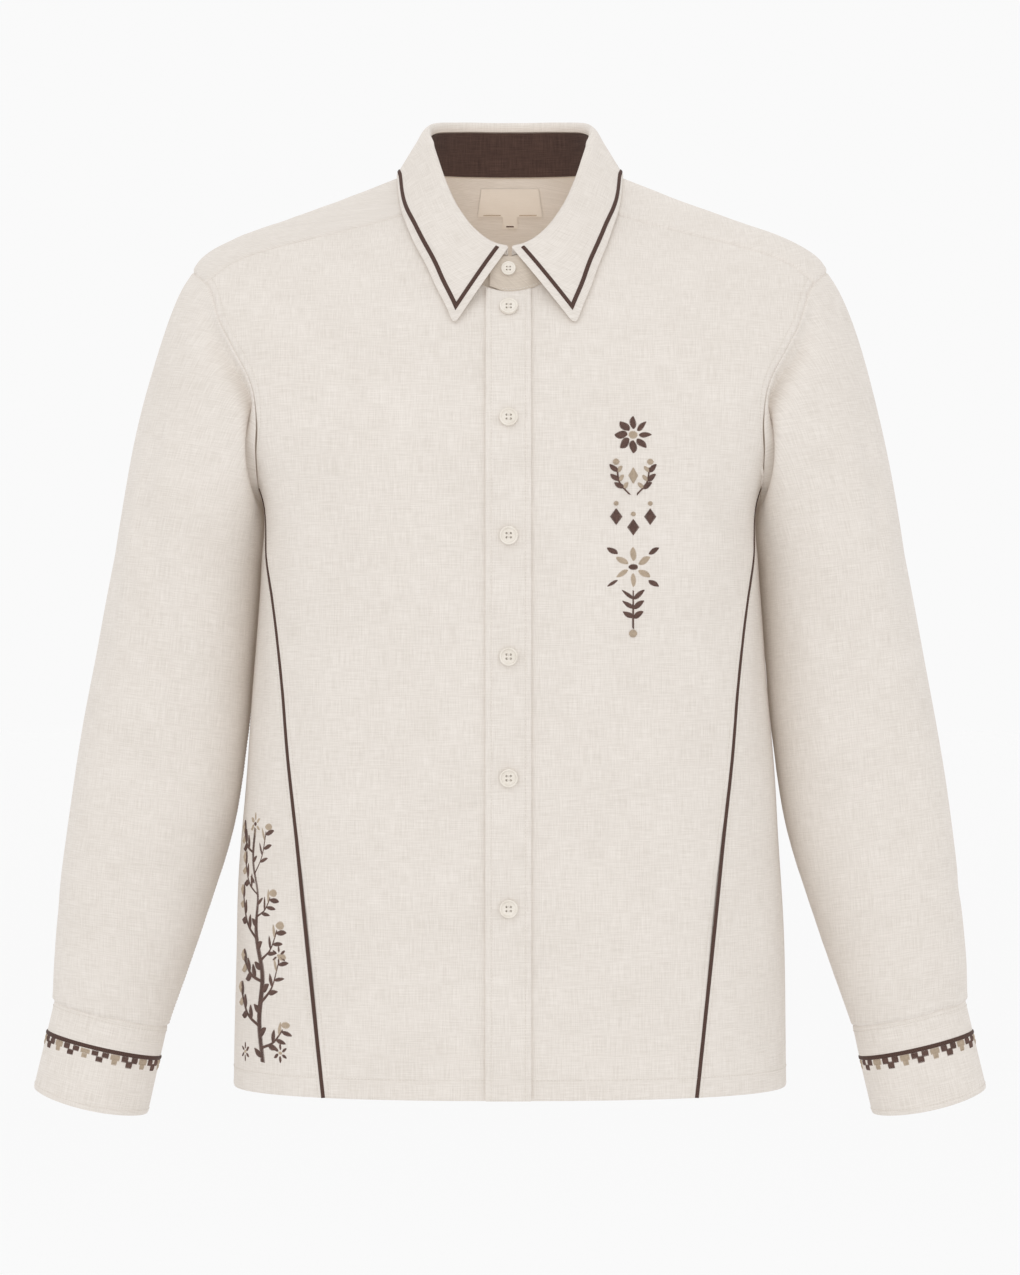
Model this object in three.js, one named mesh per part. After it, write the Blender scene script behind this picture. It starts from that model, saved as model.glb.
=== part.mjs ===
// A long-sleeved linen shirt, buttoned and filled out as if worn, hollow inside.
// Every piece of cloth is a thin wall on one of three smooth surfaces: the body, a sleeve or the collar.
// X runs to the wearer's left, Y to the wearer's back and Z up. All sizes are in millimetres.
import * as THREE from "three";

const DEGREES = Math.PI / 180;

// ---- Cloth ----
const CLOTH = 1.5; // wall of a single layer
const DOUBLE_CLOTH = 2; // wall of the collar, the cuffs and the front band
const STAND_CLOTH = 1.2; // outer layer of the collar stand
const LINING = 1; // dark inner layer of the collar stand
const BRAID = { width: 3.4, thickness: 1 }; // narrow dark trim, sewn on
const SEAM_GAP = 0.3; // clear space between two pieces at a seam
const LAYER_GAP = 0.4; // clear space between two layers

// ---- Body: rings from the hem up to the neck ----
// side is the half width, front and back are depths from the shoulder line, power is the squareness.
const BODY_RINGS = [
  { z: -706, side: 215.3, front: 140, back: 124, power: 2.4 },
  { z: -610, side: 213.8, front: 140, back: 120, power: 2.4 },
  { z: -548, side: 211.4, front: 140, back: 117, power: 2.45 },
  { z: -485, side: 207.3, front: 140, back: 114, power: 2.5 },
  { z: -426, side: 202.6, front: 139.5, back: 111, power: 2.6 },
  { z: -364, side: 197.6, front: 138, back: 109, power: 2.75 },
  { z: -301, side: 193, front: 135, back: 109, power: 3.05 },
  { z: -254, side: 192, front: 132, back: 110, power: 3.35 },
  { z: -208, side: 213, front: 126, back: 112, power: 3.15 },
  { z: -174, side: 235, front: 118, back: 112, power: 3.05 },
  { z: -134, side: 253, front: 103, back: 109, power: 3 },
  { z: -112, side: 256, front: 92, back: 107, power: 2.95 },
  { z: -91, side: 252, front: 78, back: 104, power: 2.8 },
  { z: -73, side: 246.5, front: 67, back: 100, power: 2.5 },
  { z: -63, side: 240, front: 60, back: 97, power: 2.35 },
  { z: -47, side: 213, front: 48, back: 92, power: 2.25 },
  { z: -32, side: 171, front: 35.5, back: 86, power: 2.2 },
  { z: -16, side: 127, front: 22, back: 79, power: 2.2 },
  { z: -2, side: 91.5, front: 11, back: 74, power: 2.2 },
  { z: 4, side: 77.5, front: 7, back: 72, power: 2.2 },
  { z: 11, side: 65, front: 4.5, back: 70.5, power: 2.2 },
];
const HEM_Z = -706;

// Soft troughs in the back's cloth, which hangs fuller than the front's, by angle from the front.
const BODY_FOLDS = [
  { angle: 152, lean: 0.006, width: 11, top: -150, bottom: -640, depth: 3.4 },
  { angle: -156, lean: -0.004, width: 11, top: -140, bottom: -600, depth: 3 },
  { angle: 176, lean: 0.004, width: 10, top: -330, bottom: -700, depth: 2 },
];

// ---- Neckline: where the collar is sewn to the body, by angle from the front ----
const NECKLINE = [
  { angle: -9, z: -92 },
  { angle: 0, z: -94 },
  { angle: 9, z: -92 },
  { angle: 26, z: -80 },
  { angle: 48, z: -56 },
  { angle: 69.3, z: -28 },
  { angle: 90, z: 3 },
  { angle: 116, z: 6 },
  { angle: 143, z: 7 },
  { angle: 180, z: 7.5 },
  { angle: 217, z: 7 },
];

// ---- Armhole: a closed loop seen from the side, from its top round by the front ----
const ARMHOLE = [
  { y: 0, z: -72.5 },
  { y: -24, z: -77 },
  { y: -41, z: -87 },
  { y: -60, z: -108 },
  { y: -76, z: -134 },
  { y: -87, z: -160 },
  { y: -89.5, z: -184 },
  { y: -82, z: -208 },
  { y: -62, z: -234 },
  { y: -31, z: -250 },
  { y: 0, z: -254 },
  { y: 25, z: -250 },
  { y: 50, z: -237 },
  { y: 73, z: -213 },
  { y: 85, z: -186 },
  { y: 85, z: -160 },
  { y: 77, z: -134 },
  { y: 63, z: -108 },
  { y: 44, z: -88 },
  { y: 24, z: -77.5 },
];
// Places on the armhole, counted in rows of the table above.
const AT_FRONT_YOKE = 1.75;
const AT_FRONT_SEAM = 8.45;
const AT_BACK_SEAM = 11.9;
const AT_BACK_YOKE = 16.55;

// ---- Long seams of the side panels, by angle from the front ----
const FRONT_SEAM = [
  { z: -706, angle: 50.6 },
  { z: -614, angle: 53.9 },
  { z: -519, angle: 57.2 },
  { z: -450, angle: 60.3 },
  { z: -390, angle: 62.9 },
  { z: -329, angle: 67.4 },
  { z: -291, angle: 72.4 },
];
const BACK_SEAM = [
  { z: -706, angle: 124 },
  { z: -614, angle: 121 },
  { z: -519, angle: 117.5 },
  { z: -450, angle: 115 },
  { z: -390, angle: 112 },
  { z: -329, angle: 108.5 },
  { z: -291, angle: 106 },
];
const FRONT_YOKE_SEAM = [
  { z: -45, angle: 74.7 },
  { z: -61, angle: 79.3 },
];
const FRONT_YOKE_NECK_ANGLE = 69.3;

// ---- Front band and buttons ----
// x of the band's seam and of its free edge, its gaps to the fronts and the stand, and its columns
const BAND = { left: 16, right: -18.5, gap: 0.7, below: 1.2, steps: 4 };
const FRONT_EDGES = { left: 10.9, right: 10.4 }; // x at which the two fronts meet under the band
const BUTTON = { radius: 7, thickness: 3, rim: 1.5, dish: 0.9, sides: 16 };
const SMALL_BUTTON = { radius: 5.5, thickness: 2.6, rim: 1.3, dish: 0.8, sides: 14 };
const BUTTON_X = -1;
const BUTTON_HEIGHTS = [-108.3, -192.7, -281.5, -372.5, -463.5, -561.5];
const STAND_BUTTON = { turn: 180.8, up: 0.62 };

// ---- Sleeve: elliptical sections square to the arm, from the armpit to the cuff ----
// x, y and z are the section's centre; across is its half width away from the body, deep is front to back.
const SLEEVE_SECTIONS = [
  { x: 251, y: 0, z: -301, across: 57, deep: 75 },
  { x: 259.5, y: -1, z: -364, across: 60.5, deep: 67 },
  { x: 268, y: -3, z: -426, across: 64, deep: 61 },
  { x: 277.5, y: -5, z: -489, across: 64, deep: 56 },
  { x: 291, y: -7, z: -551, across: 59, deep: 51 },
  { x: 304.3, y: -8, z: -614, across: 51.4, deep: 44 },
  { x: 312.6, y: -8, z: -655, across: 45.2, deep: 38 },
];
// Direction in which the sleeve leaves the armhole, at its top, front, bottom and back.
const CAP_DIRECTIONS = [
  { x: 0.7, y: 0, z: -0.71 },
  { x: 0.62, y: -0.12, z: -0.78 },
  { x: 0.55, y: 0, z: -0.83 },
  { x: 0.62, y: 0.12, z: -0.78 },
];
const CAP_PULL = { start: 0.5, end: 0.95 }; // lengths of the cap's tangents, as shares of its chord

// Soft troughs in the sleeve cloth: around is counted in degrees from the outside by the front,
// along is counted in sections below the armpit, with the cap from -1 to 0.
const SLEEVE_FOLDS = [
  { around: 122, lean: -14, width: 20, from: -0.75, to: 0.9, depth: 3 },
  { around: 205, lean: 20, width: 20, from: 1.6, to: 3.6, depth: 2.4 },
  { around: 250, lean: -22, width: 20, from: 2.2, to: 4.4, depth: 3 },
  { around: 300, lean: 8, width: 22, from: -0.8, to: 1, depth: 3 },
];

// ---- Cuff: a band lapped over itself at the back of the wrist ----
const CUFF = { length: 65, across: 45, deep: 36, lapAngle: 285, lap: 24, flare: 1.01, spiral: 2.5 };
const CUFF_DIRECTION = { x: 15.4, y: 0.5, z: -66 };
const CUFF_DIP = 4; // how far the cuff's lower edge dips at its front
const CUFF_BRAID_AT = 24; // below the cuff's seam
const CUFF_BUTTON = { fromEnd: 14, down: 36 }; // degrees from the lapping end, and below the seam
const SLEEVE_BAND = { around: 285, columns: 2, rows: 4 }; // counted in steps of the sleeve's mesh

// ---- Collar stand: its upper edge, by angle from the front ----
const STAND_TOP = [
  { angle: 0, radius: 73, z: -66 },
  { angle: 10, radius: 71.5, z: -62.5 },
  { angle: 24, radius: 68, z: -51.5 },
  { angle: 41, radius: 65, z: -32 },
  { angle: 55, radius: 63, z: -14 },
  { angle: 75.5, radius: 63, z: 12 },
  { angle: 98.5, radius: 66.5, z: 30.5 },
  { angle: 119.5, radius: 71, z: 39.5 },
  { angle: 146, radius: 72.5, z: 43.5 },
  { angle: 180, radius: 71.5, z: 44.5 },
];
const STAND_LAP_ANGLE = 11; // how far each end passes the centre front
const STAND_LAP_OUT = 1.8; // how far the lapping end stands out, and the other one in
const STAND_SWELL = 1.2; // how far the stand bows out at half its height
const STAND_FEET = { cloth: 0.015, lining: 0.035 }; // where each layer starts, as shares of its height

// ---- Collar fall: the places of the body under its free edge, by share of the way from the centre back ----
const FALL_EDGE = [
  { share: -0.14, x: -40, y: 70.5 },
  { share: 0, x: 0, y: 75.5 },
  { share: 0.14, x: 40, y: 70.5 },
  { share: 0.29, x: 74, y: 46 },
  { share: 0.415, x: 86.5, y: 12 },
  { share: 0.545, x: 86, y: -21 },
  { share: 0.675, x: 78, y: -46 },
  { share: 0.84, x: 62, y: -73.5 },
  { share: 1, x: 46.5, y: -97.5 },
];
const POINT_SHIFT = 3.5; // how much further to its side the left point sits than the right one
const FALL_CLEARANCE = 1.4; // between the fall's underside and the body
const FALL_ROLL = [
  // section of the roll over the stand's top: out from the stand's outer face, and up
  { out: -2.6, up: 0.35 },
  { out: -2.9, up: 3.5 },
  { out: -1.6, up: 6.4 },
  { out: 0.9, up: 7.6 },
  { out: 3.2, up: 5.4 },
];
const FALL_SPOTS = [0, 0.07, 0.14, 0.2, 0.27, 0.48, 0.74, 1]; // where its section's key points are, from 0 to 1
const FALL_FRONT_ANGLE = 1.2; // how far from the centre front each half stops
const FALL_SWELL = 1.2; // how far the fall bows out between the roll and its edge
const BRAID_INSET = 7.5; // from the fall's edges to the middle of its braid

const LABEL = { width: 48, top: 0, bottom: -21.5, thickness: 0.6 };
const SIZE_TAB = { width: 12, top: -22.1, bottom: -30.5, thickness: 0.6 };

// ---- Mesh density: pieces that meet at a seam have the same number of steps along it ----
const FRONT_STEPS = { across: 9, edge: 15, neck: 8, seam: 15, armhole: 8 };
const SIDE_STEPS = { across: 6 };
const BACK_STEPS = { across: 16, armhole: 4 };
const YOKE_STEPS = { back: 7, armhole: 5 };
const SLEEVE_STEPS = { cap: 7, arm: 13, offset: -12 };
const STAND_STEPS = { up: 3 };
const FALL_STEPS = { half: 19, rows: [0, 0.08, 0.15, 0.21, 0.28, 0.46, 0.66] };
const CUFF_STEPS = { around: 30, along: 3 };
const UPWARD = 1.8; // how much closer the rows of the body stand towards the chest

// ---------------------------------------------------------------------------------------------
// Curves and walls
// ---------------------------------------------------------------------------------------------

/** A smooth curve through one column of a table, as a function of the table's key column. */
function column(rows, key, name) {
  const sorted = [...rows].sort((a, b) => a[key] - b[key]);
  const keys = sorted.map((row) => row[key]);
  const values = sorted.map((row) => row[name]);
  const last = keys.length - 1;
  const rise = (i) => (values[i + 1] - values[i]) / (keys[i + 1] - keys[i]);
  const slopes = values.map((_, i) => {
    if (i === 0) return rise(0);
    if (i === last) return rise(last - 1);
    const before = keys[i] - keys[i - 1];
    const after = keys[i + 1] - keys[i];
    return (rise(i - 1) * after + rise(i) * before) / (before + after);
  });
  return (wanted) => {
    const at = Math.min(Math.max(wanted, keys[0]), keys[last]);
    let i = 0;
    while (i < last - 1 && at > keys[i + 1]) i++;
    const step = keys[i + 1] - keys[i];
    const t = (at - keys[i]) / step;
    return (
      values[i] * (1 + 2 * t) * (1 - t) ** 2 +
      slopes[i] * step * t * (1 - t) ** 2 +
      values[i + 1] * t * t * (3 - 2 * t) +
      slopes[i + 1] * step * t * t * (t - 1)
    );
  };
}

/** A smooth closed loop through a table's columns, counted in rows. */
function loop(rows, names) {
  const count = rows.length;
  const row = (i) => rows[((i % count) + count) % count];
  return (at) => {
    const i = Math.floor(at);
    const t = at - i;
    return names.map((name) => {
      const [a, b, c, d] = [-1, 0, 1, 2].map((k) => row(i + k)[name]);
      return b + 0.5 * t * (c - a + t * (2 * a - 5 * b + 4 * c - d + t * (3 * (b - c) + d - a)));
    });
  };
}

/** 0 before the start, 1 after the end, smooth between. */
function ease(start, end, at) {
  const t = Math.min(Math.max((at - start) / (end - start), 0), 1);
  return t * t * (3 - 2 * t);
}

/** How deep a table of soft troughs is at a place, around and along a surface. */
function foldDepth(folds, around, along, names) {
  let depth = 0;
  for (const fold of folds) {
    const [from, to] = names.map((name) => fold[name]);
    const share = (along - from) / (to - from);
    if (share <= 0 || share >= 1) continue;
    const centre = (fold.angle ?? fold.around) + fold.lean * (fold.angle ? along - from : share);
    const turn = ((around - centre + 540) % 360) - 180;
    depth += fold.depth * Math.exp(-((turn / fold.width) ** 2)) * Math.sin(Math.PI * share) ** 1.5;
  }
  return depth;
}

/** The normal of a surface given as a function of two numbers. */
function normalAt(surface, a, b, steps) {
  const alongA = surface(a + steps[0], b).sub(surface(a - steps[0], b));
  const alongB = surface(a, b + steps[1]).sub(surface(a, b - steps[1]));
  return alongA.cross(alongB).normalize();
}

/** A closed wall between an outer and an inner grid of points, each a list of rows. */
function wall(outer, inner, closed = false) {
  const rows = outer.length;
  const columns = outer[0].length;
  const points = [...outer.flat(), ...inner.flat()];
  const half = rows * columns;
  const at = (side, j, i) => side * half + j * columns + (i % columns);
  const index = [];
  const apart = (a, b) => points[a].distanceTo(points[b]);
  const quad = (a, b, c, d) => {
    // A four-sided face is split along its shorter diagonal.
    if (apart(a, c) <= apart(b, d)) index.push(a, b, c, a, c, d);
    else index.push(a, b, d, b, c, d);
  };
  const lastColumn = closed ? columns : columns - 1;
  for (let j = 0; j < rows - 1; j++)
    for (let i = 0; i < lastColumn; i++) {
      quad(at(0, j, i), at(0, j, i + 1), at(0, j + 1, i + 1), at(0, j + 1, i));
      quad(at(1, j, i), at(1, j + 1, i), at(1, j + 1, i + 1), at(1, j, i + 1));
    }
  for (let i = 0; i < lastColumn; i++) {
    quad(at(0, 0, i + 1), at(0, 0, i), at(1, 0, i), at(1, 0, i + 1));
    quad(at(0, rows - 1, i), at(0, rows - 1, i + 1), at(1, rows - 1, i + 1), at(1, rows - 1, i));
  }
  if (!closed)
    for (let j = 0; j < rows - 1; j++) {
      quad(at(0, j, 0), at(0, j + 1, 0), at(1, j + 1, 0), at(1, j, 0));
      quad(at(0, j + 1, columns - 1), at(0, j, columns - 1), at(1, j, columns - 1), at(1, j + 1, columns - 1));
    }
  return faceOut(points, index);
}

/** A geometry of these points and triangles, turned so that its faces point out. */
function faceOut(points, index) {
  let volume = 0;
  for (let i = 0; i < index.length; i += 3) {
    const [a, b, c] = [points[index[i]], points[index[i + 1]], points[index[i + 2]]];
    volume += a.dot(b.clone().cross(c));
  }
  if (volume < 0)
    for (let i = 0; i < index.length; i += 3) [index[i + 1], index[i + 2]] = [index[i + 2], index[i + 1]];
  const flat = points.flatMap((p) => [p.x, p.y, p.z]);
  const geometry = new THREE.BufferGeometry();
  geometry.setAttribute("position", new THREE.Float32BufferAttribute(flat, 3));
  geometry.setIndex(index);
  return geometry;
}

/** Moves the edges of a grid of surface places in by half a seam gap. */
function trimEdges(places, surface, edges) {
  const rows = places.length;
  const columns = places[0].length;
  const pull = (j, i, towardJ, towardI) => {
    const here = places[j][i];
    const next = places[towardJ][towardI];
    const share = SEAM_GAP / 2 / surface(...here).distanceTo(surface(...next));
    places[j][i] = [here[0] + (next[0] - here[0]) * share, here[1] + (next[1] - here[1]) * share];
  };
  for (let j = 0; j < rows; j++) {
    if (edges.includes("start")) pull(j, 0, j, 1);
    if (edges.includes("end")) pull(j, columns - 1, j, columns - 2);
  }
  for (let i = 0; i < columns; i++) {
    if (edges.includes("bottom")) pull(0, i, 1, i);
    if (edges.includes("top")) pull(rows - 1, i, rows - 2, i);
  }
}

/** A grid of places inside four boundary curves, each a function of a share from 0 to 1. */
function fillGrid(bottom, top, start, end, grid) {
  const places = [];
  for (let j = 0; j <= grid.up; j++) {
    const v = j / grid.up;
    const row = [];
    for (let i = 0; i <= grid.across; i++) {
      const u = i / grid.across;
      const place = [0, 1].map(
        (k) =>
          (1 - v) * bottom(u)[k] + v * top(u)[k] + (1 - u) * start(v)[k] + u * end(v)[k] -
          (1 - u) * (1 - v) * bottom(0)[k] - u * (1 - v) * bottom(1)[k] -
          (1 - u) * v * top(0)[k] - u * v * top(1)[k],
      );
      row.push(place);
    }
    places.push(row);
  }
  return places;
}

/** Evenly spaced shares from 0 to 1. */
function shares(steps) {
  return Array.from({ length: steps + 1 }, (_, i) => i / steps);
}

/** Two boundary curves end to end, meeting at a share of the way. */
function joined(first, second, share) {
  return (t) => (t <= share ? first(t / share) : second((t - share) / (1 - share)));
}

/** A wall on a surface: places, how far its outer face is lifted, and how thick it is. */
function sheet(surface, normal, places, thickness, lift = 0, closed = false) {
  const outer = places.map((row) => row.map((p) => surface(...p).addScaledVector(normal(...p), lift)));
  const inner = places.map((row) =>
    row.map((p) => surface(...p).addScaledVector(normal(...p), lift - thickness)),
  );
  return wall(outer, inner, closed);
}

/** A narrow strip along a path of surface places, standing on the surface, with mitred corners. */
function strip(surface, normal, path, { width, thickness }, lift) {
  const points = path.map((p) => surface(...p));
  const normals = path.map((p) => normal(...p));
  const last = points.length - 1;
  const across = points.map((p, i) => {
    const arriving = p.clone().sub(points[Math.max(i - 1, 0)]).normalize();
    const leaving = points[Math.min(i + 1, last)].clone().sub(p).normalize();
    const along = arriving.clone().add(leaving).normalize();
    const mitre = i === 0 || i === last ? 1 : 1 / Math.max(along.dot(leaving), 0.45);
    return along.cross(normals[i]).setLength((width / 2) * mitre);
  });
  const face = (height) =>
    [-1, 1].map((side) =>
      points.map((p, i) => p.clone().addScaledVector(across[i], side).addScaledVector(normals[i], height)),
    );
  return wall(face(lift + thickness), face(lift));
}

/** The same piece on the wearer's other side. */
function mirrored(geometry) {
  const position = geometry.getAttribute("position");
  const points = [];
  for (let i = 0; i < position.count; i++)
    points.push(new THREE.Vector3(-position.getX(i), position.getY(i), position.getZ(i)));
  return faceOut(points, [...geometry.index.array]);
}

// ---------------------------------------------------------------------------------------------
// Body surface
// ---------------------------------------------------------------------------------------------

const ring = Object.fromEntries(
  ["side", "front", "back", "power"].map((name) => [name, column(BODY_RINGS, "z", name)]),
);
const neckZ = column(NECKLINE, "angle", "z");

/** An angle in degrees, brought between -180 and 180. */
function wrap(angle) {
  return ((((angle + 180) % 360) + 360) % 360) - 180;
}

/** A point of the body's cloth, by angle from the centre front in degrees and by height. */
function bodyPoint(angle, z) {
  const turn = angle * DEGREES;
  const depth = Math.cos(turn) > 0 ? ring.front(z) : ring.back(z);
  const power = ring.power(z);
  const across = (Math.abs(Math.sin(turn)) / ring.side(z)) ** power;
  const along = (Math.abs(Math.cos(turn)) / depth) ** power;
  const radius = (across + along) ** (-1 / power) - foldDepth(BODY_FOLDS, wrap(angle), z, ["top", "bottom"]);
  return new THREE.Vector3(radius * Math.sin(turn), -radius * Math.cos(turn), z);
}

function bodyNormal(angle, z) {
  return normalAt(bodyPoint, angle, z, [0.05, 0.05]);
}

/** The angle of the place on the front that is x to the wearer's left. */
function angleAtX(x, z) {
  const y = ring.front(z) * (1 - (Math.abs(x) / ring.side(z)) ** ring.power(z)) ** (1 / ring.power(z));
  return Math.atan2(x, y) / DEGREES;
}

/** A place on the armhole, counted in rows of its table. */
function armhole(at) {
  const [y, z] = loop(ARMHOLE, ["y", "z"])(at);
  const depth = y < 0 ? ring.front(z) : ring.back(z);
  const x = ring.side(z) * (1 - (Math.abs(y) / depth) ** ring.power(z)) ** (1 / ring.power(z));
  return [Math.atan2(x, -y) / DEGREES, z];
}

/** A stretch of the armhole, as a boundary curve. */
function armholeStretch(from, to) {
  return (t) => armhole(from + (to - from) * t);
}

/** A long seam from the hem to the armhole, as a boundary curve. */
function longSeam(rows, atArmhole) {
  const [angle, z] = armhole(atArmhole);
  const angleAt = column([...rows, { z, angle }], "z", "angle");
  return (t) => {
    const height = rowHeight(z, t);
    return [angleAt(height), height];
  };
}

/** The height of a row of the body: rows stand closer together towards the top. */
function rowHeight(top, t) {
  return HEM_Z + (top - HEM_Z) * (1 - (1 - t) ** UPWARD);
}

/** A straight run between two places. */
function straight(from, to) {
  return (t) => [from[0] + (to[0] - from[0]) * t, from[1] + (to[1] - from[1]) * t];
}

/** A place on the neckline. */
function neckPlace(angle) {
  return [angle, neckZ(Math.abs(wrap(angle)))];
}

const frontSeam = longSeam(FRONT_SEAM, AT_FRONT_SEAM);
const backSeam = longSeam(BACK_SEAM, AT_BACK_SEAM);

/** The front yoke seam, from the armhole to the neckline. */
function frontYokeSeam(t) {
  const [angle, z] = armhole(AT_FRONT_YOKE);
  const neck = neckPlace(FRONT_YOKE_NECK_ANGLE);
  const rows = [{ z, angle }, ...FRONT_YOKE_SEAM, { z: neck[1], angle: neck[0] }];
  const height = z + (neck[1] - z) * t;
  return [column(rows, "z", "angle")(height), height];
}

// ---------------------------------------------------------------------------------------------
// Body pieces
// ---------------------------------------------------------------------------------------------

const UP_FRONT = FRONT_STEPS.seam + FRONT_STEPS.armhole;
const UP_BACK = FRONT_STEPS.seam + BACK_STEPS.armhole;

/** The centre edge of a front: x of the edge, to the wearer's left, as a boundary curve. */
function centreEdge(x) {
  const top = neckPlace(angleAtX(x, neckZ(0)))[1];
  return (t) => [angleAtX(x, rowHeight(top, t)), rowHeight(top, t)];
}

/** The left front, from its edge at the centre to the long seam, the armhole and the yoke. */
function makeFront(edgeX) {
  const edge = centreEdge(edgeX);
  const neckAngle = edge(1)[0];
  const neck = (t) => neckPlace(neckAngle + (FRONT_YOKE_NECK_ANGLE - neckAngle) * t);
  const start = joined(edge, neck, FRONT_STEPS.edge / UP_FRONT);
  const armholeEdge = armholeStretch(AT_FRONT_SEAM, AT_FRONT_YOKE);
  const end = joined(frontSeam, armholeEdge, FRONT_STEPS.seam / UP_FRONT);
  const hem = straight(edge(0), frontSeam(0));
  const grid = { across: FRONT_STEPS.across, up: UP_FRONT };
  const places = fillGrid(hem, (u) => frontYokeSeam(1 - u), start, end, grid);
  trimEdges(places, bodyPoint, ["start", "end", "top"]);
  return sheet(bodyPoint, bodyNormal, places, CLOTH);
}

/** The panel under the left arm, from the front seam round to the back seam. */
function makeSide() {
  const hem = straight(frontSeam(0), backSeam(0));
  const armholeEdge = armholeStretch(AT_FRONT_SEAM, AT_BACK_SEAM);
  const grid = { across: SIDE_STEPS.across, up: FRONT_STEPS.seam };
  const places = fillGrid(hem, armholeEdge, frontSeam, backSeam, grid);
  trimEdges(places, bodyPoint, ["start", "end", "top"]);
  return sheet(bodyPoint, bodyNormal, places, CLOTH);
}

/** The back, below the yoke. */
function makeBack() {
  const armholeEdge = armholeStretch(AT_BACK_SEAM, AT_BACK_YOKE);
  const left = joined(backSeam, armholeEdge, FRONT_STEPS.seam / UP_BACK);
  const right = (t) => [360 - left(t)[0], left(t)[1]];
  const hem = straight(left(0), right(0));
  const top = straight(left(1), right(1));
  const places = fillGrid(hem, top, left, right, { across: BACK_STEPS.across, up: UP_BACK });
  trimEdges(places, bodyPoint, ["start", "end", "top"]);
  return sheet(bodyPoint, bodyNormal, places, CLOTH);
}

/** The yoke, over both shoulders and across the upper back. */
function makeYoke() {
  const half = YOKE_STEPS.back + YOKE_STEPS.armhole;
  const backSeamEdge = straight([180, armhole(AT_BACK_YOKE)[1]], armhole(AT_BACK_YOKE));
  const armholeEdge = armholeStretch(AT_BACK_YOKE, ARMHOLE.length + AT_FRONT_YOKE);
  const outer = joined(backSeamEdge, armholeEdge, YOKE_STEPS.back / half);
  const inner = (share) => neckPlace(180 - (180 - FRONT_YOKE_NECK_ANGLE) * share);
  const bothSides = (edge) => (u) => {
    const [angle, z] = edge(Math.abs(2 * u - 1));
    return [u > 0.5 ? angle : 360 - angle, z];
  };
  const start = (t) => [360 - frontYokeSeam(t)[0], frontYokeSeam(t)[1]];
  const grid = { across: 2 * half, up: FRONT_STEPS.across };
  const places = fillGrid(bothSides(outer), bothSides(inner), start, frontYokeSeam, grid);
  trimEdges(places, bodyPoint, ["start", "end", "bottom", "top"]);
  return sheet(bodyPoint, bodyNormal, places, CLOTH);
}

/** The front band, on the left front and over the right front's edge. */
function makeFrontBand() {
  const places = shares(FRONT_STEPS.edge).map((t) =>
    shares(BAND.steps).map((u) => {
      const x = BAND.right + (BAND.left - BAND.right) * u;
      const top = neckPlace(angleAtX(x, neckZ(0)))[1] - BAND.below;
      return [angleAtX(x, rowHeight(top, t)), rowHeight(top, t)];
    }),
  );
  return sheet(bodyPoint, bodyNormal, places, DOUBLE_CLOTH, BAND.gap + DOUBLE_CLOTH);
}

/** Braid on the left front seam, from the hem to just below the armhole. */
function makeSeamBraid() {
  const rows = shares(FRONT_STEPS.seam).slice(0, -1);
  const last = rows[rows.length - 1];
  const path = [...rows, last + (1 - last) * 0.35].map(frontSeam);
  return strip(bodyPoint, bodyNormal, path, BRAID, LAYER_GAP);
}

/** A flat piece sewn inside the upper back. */
function makeInside({ width, top, bottom, thickness }) {
  const half = width / 2 / ring.back((top + bottom) / 2) / DEGREES;
  const places = fillGrid(
    straight([180 - half, bottom], [180 + half, bottom]),
    straight([180 - half, top], [180 + half, top]),
    straight([180 - half, bottom], [180 - half, top]),
    straight([180 + half, bottom], [180 + half, top]),
    { across: Math.max(2, Math.round(width / 8)), up: 2 },
  );
  return sheet(bodyPoint, bodyNormal, places, thickness, -CLOTH - 2 * LAYER_GAP);
}

// ---------------------------------------------------------------------------------------------
// Sleeves and cuffs
// ---------------------------------------------------------------------------------------------

const sectionRows = SLEEVE_SECTIONS.map((row, at) => ({ at, ...row }));
const section = Object.fromEntries(
  ["x", "y", "z", "across", "deep"].map((name) => [name, column(sectionRows, "at", name)]),
);
const LAST_SECTION = SLEEVE_SECTIONS.length - 1;
const cuffAxis = new THREE.Vector3(CUFF_DIRECTION.x, CUFF_DIRECTION.y, CUFF_DIRECTION.z).normalize();

/** The middle of the sleeve at a place counted in sections. */
function armCentre(at) {
  return new THREE.Vector3(section.x(at), section.y(at), section.z(at));
}

/** The direction of the arm at a place counted in sections, which ends as the cuff's. */
function armDirection(at) {
  const [before, after] = [Math.max(at - 0.01, 0), Math.min(at + 0.01, LAST_SECTION)];
  const own = armCentre(after).sub(armCentre(before)).normalize();
  return own.lerp(cuffAxis, ease(LAST_SECTION - 0.8, LAST_SECTION, at)).normalize();
}

/** A point of an ellipse square to a direction: around is in degrees from the outside by the front. */
function ellipsePoint(centre, direction, across, deep, around) {
  const turn = around * DEGREES;
  const back = new THREE.Vector3(0, 1, 0).addScaledVector(direction, -direction.y).normalize();
  const out = direction.clone().cross(back).normalize();
  if (out.x < 0) out.negate();
  return centre
    .clone()
    .addScaledVector(out, across * Math.cos(turn))
    .addScaledVector(back, -deep * Math.sin(turn));
}

/** A point of the arm part of the sleeve. */
function armPoint(around, at) {
  return ellipsePoint(armCentre(at), armDirection(at), section.across(at), section.deep(at), around);
}

/** The place on the armhole at an angle round the sleeve. */
function armholeAround(around) {
  return armhole((around / 360) * ARMHOLE.length);
}

/** The direction in which the sleeve leaves the armhole. */
function capDirection(around) {
  const [x, y, z] = loop(CAP_DIRECTIONS, ["x", "y", "z"])(around / 90);
  return new THREE.Vector3(x, y, z).normalize();
}

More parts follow.
